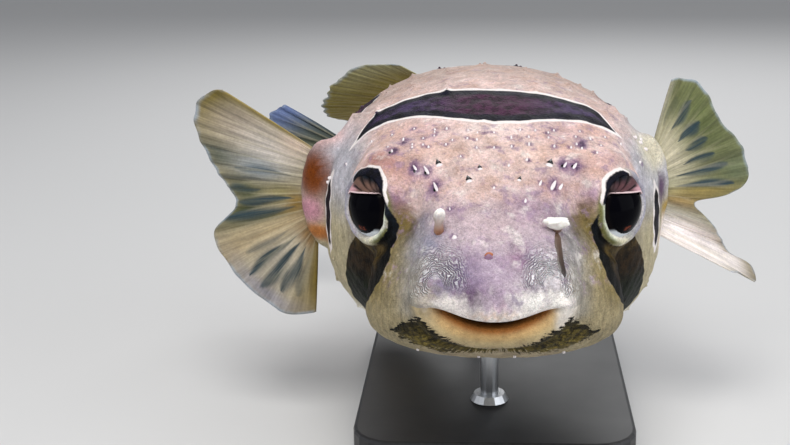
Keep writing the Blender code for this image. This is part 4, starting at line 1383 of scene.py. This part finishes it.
def streak_share(rows, share, reach):
    """How dark the lance-shaped streaks between the rays make each place."""
    found = np.zeros(len(share))
    for at, half, start, end, strength in rows:
        along = np.clip((reach - start) / (end - start), 0, 1)
        width = 1.25 * half * np.sin(math.pi * along ** 1.3) ** 0.8 + 1e-4
        drift = at + 0.25 * half * np.sin(7.0 * along + 40.0 * at)
        found = np.maximum(found, strength * ramp(1.9, 0.0, np.abs(share - drift) / width))
    return found


def ridge_root(start, end, side):
    """The root line of a fin that stands on the middle of the back (side 1) or belly (-1)."""
    line = np.linspace(5, LAST_STATION - 1, 400)
    columns = rails(line)
    y, z = (columns[0], columns[1]) if side > 0 else (columns[5], columns[6])

    def root(share):
        along = start + (end - start) * share
        return np.column_stack((0 * along, along, np.interp(along, y, z) - side * RIDGE_DEPTH))
    return root


def pectoral_root(word):
    middle = PECTORAL_LOBE_MIDDLE[word]
    side = math.copysign(1.0, middle.x)

    def root(share):
        turn = np.radians(PECTORAL_ARC * (1 - 2 * share))
        return np.array(middle) + np.column_stack((side * PECTORAL_ROOT.x * np.cos(turn),
                                                   PECTORAL_ROOT.y + 0 * turn,
                                                   PECTORAL_ROOT.z * np.sin(turn)))
    return root


def tail_root(share):
    start, top, bottom = TAIL_ROOT
    return np.column_stack((0 * share, start + 0 * share, top + (bottom - top) * share))


# Looks of the fins: base colour, clouds of colour (share of the root, reach along the ray, half
# sizes, colour) and dark streaks (share, half width, start and end along the ray, strength)
RIGHT_LOOK = ((152, 142, 118), (
    (0.12, 0.60, 0.10, 0.30, (150, 136, 118)), (0.20, 0.35, 0.14, 0.30, (190, 182, 174)),
    (0.05, 0.14, 0.12, 0.14, (200, 180, 164)), (0.04, 0.98, 0.13, 0.15, (112, 98, 44)),
    (0.00, 0.50, 0.03, 0.70, (150, 132, 74)), (0.30, 0.88, 0.07, 0.22, (92, 94, 78)),
    (0.34, 0.50, 0.08, 0.25, (148, 156, 162)), (0.48, 0.78, 0.08, 0.28, (80, 84, 58)),
    (0.50, 0.34, 0.08, 0.25, (134, 126, 88)), (0.58, 0.85, 0.05, 0.25, (84, 88, 56)),
    (0.64, 0.50, 0.03, 0.50, (76, 76, 42)), (0.58, 0.12, 0.10, 0.15, (130, 104, 52)),
    (0.72, 0.55, 0.05, 0.60, (178, 158, 122)), (0.86, 0.55, 0.10, 0.36, (196, 186, 168)),
    (0.88, 0.92, 0.12, 0.10, (150, 146, 152)), (0.88, 0.08, 0.14, 0.12, (134, 104, 66)),
    (1.00, 0.50, 0.05, 0.80, (112, 94, 34)),
), (
    (0.27, 0.018, 0.40, 1.00, 0.55), (0.345, 0.022, 0.12, 0.78, 0.75),
    (0.40, 0.018, 0.50, 1.02, 0.6), (0.465, 0.020, 0.55, 1.02, 0.8),
    (0.535, 0.024, 0.15, 0.97, 0.95), (0.61, 0.028, 0.10, 1.02, 1.0),
    (0.70, 0.012, 0.40, 0.80, 0.4), (0.755, 0.014, 0.20, 0.80, 0.7),
    (0.81, 0.018, 0.20, 0.90, 1.0), (0.865, 0.022, 0.18, 0.92, 1.1),
    (0.915, 0.020, 0.20, 0.82, 1.0), (0.955, 0.014, 0.25, 0.80, 0.6),
))
LEFT_LOOK = ((118, 120, 84), (
    (0.25, 0.15, 0.30, 0.30, (188, 180, 156)), (0.22, 0.80, 0.22, 0.28, (94, 102, 64)),
    (0.00, 0.60, 0.03, 0.70, (160, 156, 136)), (0.46, 0.85, 0.06, 0.20, (96, 104, 76)),
    (0.53, 0.55, 0.03, 0.60, (128, 114, 62)), (0.60, 0.50, 0.05, 0.90, (138, 112, 46)),
    # The lower blade's white-pink is lighter than its own colour: painted light for the light its
    # downward face lacks.
    (0.84, 0.45, 0.15, 0.90, (244, 234, 232)), (0.94, 0.50, 0.14, 0.70, (244, 234, 230)),
    (0.88, 1.00, 0.12, 0.14, (156, 144, 122)),
), (
    (0.06, 0.018, 0.25, 0.75, 0.5), (0.13, 0.022, 0.30, 0.78, 1.0),
    (0.215, 0.024, 0.33, 0.74, 1.1), (0.295, 0.022, 0.35, 0.72, 1.1),
    (0.37, 0.018, 0.25, 0.68, 1.0), (0.435, 0.014, 0.10, 0.80, 1.2),
    (0.495, 0.014, 0.10, 0.86, 1.2), (0.72, 0.008, 0.25, 0.80, 0.3),
    (0.80, 0.008, 0.25, 0.90, 0.3),
))
PLAIN_STREAKS = tuple((0.1 * step + 0.04, 0.012, 0.25, 0.8, 0.2) for step in range(10))
DORSAL_LOOK = ((146, 136, 74), ((0.1, 0.9, 0.3, 0.2, (150, 148, 112)),
                                    (0.5, 0.1, 0.6, 0.2, (158, 138, 112))), PLAIN_STREAKS)
TAIL_LOOK = ((50, 64, 66), ((0.1, 0.95, 0.3, 0.3, (96, 114, 160)),
                                (0.7, 0.5, 0.4, 0.5, (108, 106, 72))), PLAIN_STREAKS)


def fins():
    fin("pectoral_fin_detail_right", RIGHT_PECTORAL_RAYS, pectoral_root("right"), (-1, 0, 0),
        (0, 1, 0), (0, 0, 1), 13, -1.5, RIGHT_LOOK, "pectoral_fin_right")
    fin("pectoral_fin_detail_left", LEFT_PECTORAL_RAYS, pectoral_root("left"), (1, 0, 0),
        (0, 1, 0), (0, 0, 1), 13, -1.5, LEFT_LOOK, "pectoral_fin_left")
    fin("dorsal_fin_detail", DORSAL_RAYS, ridge_root(*DORSAL_ROOT, 1), (0, 0, 1), (0, 1, 0),
        (-1, 0, 0), 12, 0.0, DORSAL_LOOK, "dorsal_fin")
    fin("anal_fin_detail", ANAL_RAYS, ridge_root(*ANAL_ROOT, -1), (0, 0, -1), (0, 1, 0),
        (-1, 0, 0), 11, 0.0, DORSAL_LOOK, "anal_fin")
    fin("tail_fin_detail", TAIL_RAYS, tail_root, (0, 1, 0), (-1, 0, 0), (0, 0, 1), 9, 3.0,
        TAIL_LOOK, "tail_fin")


# ---------------------------------------------------------------- eyes, lids and nose

def eyeball(word, side):
    mesh, gaze = ball("eyeball_" + word, 72, 48, EYE_RADIUS)
    put_at(mesh, bent(from_eye_frame(gaze, side)))
    front = np.where(gaze[:, 2] > 0, np.hypot(gaze[:, 0], gaze[:, 1]), EYE_RADIUS)
    store(mesh, gaze=gaze, iris=front)
    outward(mesh)
    finished("eyeball_" + word, mesh, EYE, "eye", "eye_" + word)


LID_RADIUS = EYE_RADIUS + 0.9
LID_HALF = 9.2  # half width of the lid
LID_MIDDLE = 2.0  # how far its middle lies towards the snout
LID_MARGIN = 5.9  # how high over the eye's middle the lid ends
LID_SLANT = 0.12
LID_TOP = 12.9  # how far from the eye's look axis its upper edge hides under the ring
LID_THICK = 0.45
LID_TINT = {"right": tone(104, 78, 68), "left": tone(86, 56, 60)}
FOLD_CORNER = (9.4, 6.2)  # where the lid's folds run together


def eyelid(word, side):
    """The folded upper lid: a shell over the top third of the eyeball."""
    mesh, grid = sheet("eyelid_" + word, 90, 44)
    across, up = grid[:, 0] * 2, grid[:, 1] + 0.5
    u = LID_MIDDLE + across * LID_HALF
    margin = LID_MARGIN + LID_SLANT * u - 2.2 * ramp(0.7, 1.0, across)
    margin -= 1.5 * ramp(-0.7, -1.0, across)
    top = np.sqrt(LID_TOP ** 2 - u ** 2)
    v = margin + (np.maximum(top, margin + 0.4) - margin) * up
    turn = np.degrees(np.arctan2(v - FOLD_CORNER[1], FOLD_CORNER[0] - u))
    reach = np.hypot(v - FOLD_CORNER[1], FOLD_CORNER[0] - u)
    fold = np.cos(np.radians(turn * 27.0 + 40 * np.sin(reach * 0.45)))
    fold *= ramp(0.04, 0.2, up) * ramp(0.4, 1.6, reach) * ramp(16, 9, reach)
    radius = LID_RADIUS + 0.32 * fold + 0.12 * ramp(0.10, 0.0, up)
    radius -= 2.2 * ramp(0.82, 1.0, np.abs(across)) ** 1.5
    h = np.sqrt(np.maximum(radius ** 2 - u ** 2 - v ** 2, 0.0))
    put_at(mesh, bent(from_eye_frame(np.column_stack((u, v, h)), side)))
    # Painted shade: the grooves between the lid's folds are darkened.
    groove = ramp(0.25, -0.55, fold) * ramp(-7, -3, u)
    pale = ramp(0.075, 0.045, up) * ramp(9.5, 7.5, u) * ramp(-7.0, -6.2, u)
    tint = layered(
        np.tile(LID_TINT[word], (len(u), 1)),
        (tone(206, 158, 168), 0.95 * ramp(2.0, -4.0, u) * ramp(9.0, 6.6, v)),
        (tone(40, 28, 30), ramp(4, 9, u)), (TEAL, ramp(9.2, 11.4, v + 0.08 * u)),
        (tone(182, 176, 188), ramp(-6.0, -7.0, u) * ramp(9, 6, v)))
    store(mesh, fold=np.column_stack((groove, 0.9 * pale, 0 * up)), tint=tint)
    made = finished("eyelid_" + word, mesh, LID, "skin")
    thickened(made, LID_THICK, -side)


# Nose tentacles, and a brown strip down the snout under the left one that is that tentacle's
# painted shadow.
# Tables run along their length: share of it, half width, half depth; shades: share and colour.
RIGHT_TENTACLE = ((0, 2.2, 2.0), (0.3, 1.7, 1.7), (0.55, 1.5, 1.4), (0.75, 2.0, 1.5), (1, 2.0, 1.4))
LEFT_TENTACLE = ((0, 1.9, 1.9), (0.25, 1.6, 1.6), (0.4, 2.2, 1.4), (0.5, 3.9, 1.5), (0.8, 4.5, 1.6),
                 (1, 4.3, 1.6))
TENTACLE_SHADOW = ((0, 2.0, 1.1), (0.5, 1.9, 1.0), (0.8, 2.0, 0.9), (1, 2.0, 0.7))
RIGHT_TENTACLE_LINE = ((-19.6, -26.5, -1.8), (-19.8, -31.6, 2.8), (-19.0, -31.0, 9.0))
LEFT_TENTACLE_LINE = ((22.6, -25.5, -0.5), (22.5, -29.0, 1.6), (21.6, -30.2, 5.2))
TENTACLE_SHADOW_MARKS = ((21.9, -26.5, -0.2), (22.8, -34.0, -7.5), (24.0, -41.0, -14.6))
RIGHT_SHADES = ((0.0, (132, 84, 54)), (0.3, (160, 112, 80)), (0.55, (176, 156, 146)),
                (0.8, (196, 188, 186)), (0.92, (246, 242, 236)))
LEFT_SHADES = ((0.0, (90, 66, 56)), (0.35, (120, 90, 74)), (0.42, (240, 236, 228)),
               (1.0, (248, 246, 240)))
# The painted shadow strip darkens towards its lower end.
TENTACLE_SHADOW_SHADES = ((0.0, (98, 76, 62)), (0.5, (74, 56, 46)), (0.8, (44, 32, 28)),
                (1.0, (38, 26, 24)))


def tube(name, line, table, shades, rough, *replaced):
    """A short closed tube along the bow from the first to the last of three places."""
    mesh, sphere = ball(name, 40, 40)
    share = np.arccos(np.clip(-sphere[:, 2], -1, 1)) / math.pi
    foot, knee, head = [np.array(place) for place in line]
    centre = foot + 2 * share[:, None] * (1 - share[:, None]) * (knee - foot)
    centre += share[:, None] ** 2 * (head - foot)
    aim = (1 - share[:, None]) * (knee - foot) + share[:, None] * (head - knee)
    across = np.array((1.0, 0.0, 0.0))
    deep = np.cross(across, aim)
    deep /= np.linalg.norm(deep, axis=1)[:, None]
    turn = np.arctan2(sphere[:, 1], sphere[:, 0])
    close = np.minimum(1.0, np.minimum(6 * share, 7 * (1 - share))) ** 0.5
    columns = np.array(table).T
    width, depth = [np.interp(share, columns[0], column) for column in columns[1:]]
    ragged = 0.16 * np.sin(5 * turn + 6 * share) + 0.10 * np.sin(9 * turn + 2)
    ragged = (ragged + 0.08 * np.sin(17 * share + 3 * turn)) * ramp(0.4, 0.7, share)
    ripple = 1 + rough * ragged
    places = centre + np.outer(np.cos(turn) * width * close * ripple, across)
    places += deep * (np.sin(turn) * depth * close * ripple)[:, None]
    put_at(mesh, bent(places))
    marks, colours = zip(*shades)
    channels = np.array([tone(*colour) for colour in colours]).T
    store(mesh, tint=np.column_stack([np.interp(share, marks, channel) for channel in channels]))
    outward(mesh)
    finished(name, mesh, NOSE, "nose", *replaced)


def snout_details():
    """Tentacles over the nostrils, the left one's painted shadow as a brown strip down the snout's
    left side, and the wart between with its painted shadow.
    """
    tube("nose_tentacle_detail_right", RIGHT_TENTACLE_LINE, RIGHT_TENTACLE, RIGHT_SHADES, 1.0,
         "nose_tentacle_right")
    tube("nose_tentacle_detail_left", LEFT_TENTACLE_LINE, LEFT_TENTACLE, LEFT_SHADES, 1.0,
         "nose_tentacle_left")
    # A brown strip lying on the snout: painted shadow of the left tentacle.
    top, middle, low = [found[0] + 0.6 * found[2] for found in map(on_skin, TENTACLE_SHADOW_MARKS)]
    tube("tentacle_shadow_strip", (top, 2 * middle - (top + low) / 2, low), TENTACLE_SHADOW, TENTACLE_SHADOW_SHADES, 0.1)
    bm = numbered_mesh()
    top, _, out = on_skin((-1.6, -40.5, -5.8))
    across, up = Vector((0.94, 0, 0.34)), Vector((-0.34, 0.3, 0.9))
    drop(bm, ORANGE, top, across, up, out, (1.6, 0.9, 0.8))
    # A mauve bead just under the wart: its painted shadow.
    below, _, out = on_skin((-1.4, -41.0, -6.9))
    across, up = Vector((1, 0, 0)), Vector((0, 0.3, 0.9))
    drop(bm, WART_SHADOW, below, across, up, out, (1.5, 1.2, 0.7))
    tinted("snout_details", bm, NOSE, "nose")


# ---------------------------------------------------------------- the piece, its stand and its room

FIN = fin_finish()
EYE = eye_finish()
LID = lid_finish()
NOSE = nose_finish()

SPINES = spine_rows()
skin()
trunk_spines()
head_drops()
fins()
for word, side in SIDES:
    eyeball(word, side)
    eyelid(word, side)
snout_details()

paint, steel = paint_finish(), steel_finish()
for name, material in (("stand_base", paint), ("stand_rod_front", steel),
                       ("stand_rod_rear", steel)):
    node = frame["nodes"][name]
    node.data.materials.clear()
    node.data.materials.append(material)


def studio():
    """A pale floor, a pale world and soft lights in front of and around the fish."""
    mesh, _ = sheet("floor", 4, 4, 6.0)
    mesh.materials.append(floor_finish())
    floor = bpy.data.objects.new("floor", mesh)
    bpy.context.scene.collection.objects.link(floor)

    world = bpy.data.worlds.new("studio")
    world.use_nodes = True
    background = world.node_tree.nodes["Background"]
    background.inputs["Color"].default_value = (0.82, 0.84, 0.88, 1)
    background.inputs["Strength"].default_value = 0.36
    bpy.context.scene.world = world
    bpy.context.scene.view_settings.view_transform = "Standard"

    for name, place, size, power, colour in (
            ("key", (-0.04, -0.70, 0.95), 0.55, 9.0, (1.0, 0.98, 0.95)),
            ("fill", (-0.9, -0.4, 0.35), 0.9, 1.7, (0.93, 0.96, 1.0)),
            ("fill_left", (0.9, -0.4, 0.35), 0.9, 4.6, (0.93, 0.96, 1.0)),
            ("back", (0.1, 0.9, 0.8), 0.8, 5.0, (1.0, 1.0, 1.0))):
        light = bpy.data.lights.new(name, "AREA")
        light.size = size
        light.energy = power
        light.color = colour
        lamp = bpy.data.objects.new(name, light)
        lamp.location = place
        lamp.rotation_euler = (EYES_MIDPOINT - Vector(place)).to_track_quat("-Z", "Y").to_euler()
        bpy.context.scene.collection.objects.link(lamp)


CAMERA_DISTANCE = 0.520
CAMERA_HEIGHT = math.radians(15)
CAMERA_LENS = 62.8
CAMERA_SHIFT = (math.radians(4.11), math.radians(-0.52))  # turn right and down from the eyes


def camera():
    view = bpy.data.cameras.new("camera")
    view.lens = CAMERA_LENS
    view.sensor_width = 36.0
    view.clip_start = 0.01
    made = bpy.data.objects.new("camera", view)
    bpy.context.scene.collection.objects.link(made)
    away = Vector((0, -math.cos(CAMERA_HEIGHT), math.sin(CAMERA_HEIGHT)))
    place = EYES_MIDPOINT + away * CAMERA_DISTANCE
    forward = -away
    right = Vector((1, 0, 0))
    up = right.cross(forward)
    turned = Matrix((right, up, -forward)).transposed()
    for angle, axis in zip(CAMERA_SHIFT, "YX"):
        turned = turned @ Matrix.Rotation(angle, 3, axis)
    made.matrix_world = Matrix.Translation(place) @ turned.to_4x4()
    bpy.context.scene.camera = made


studio()
camera()
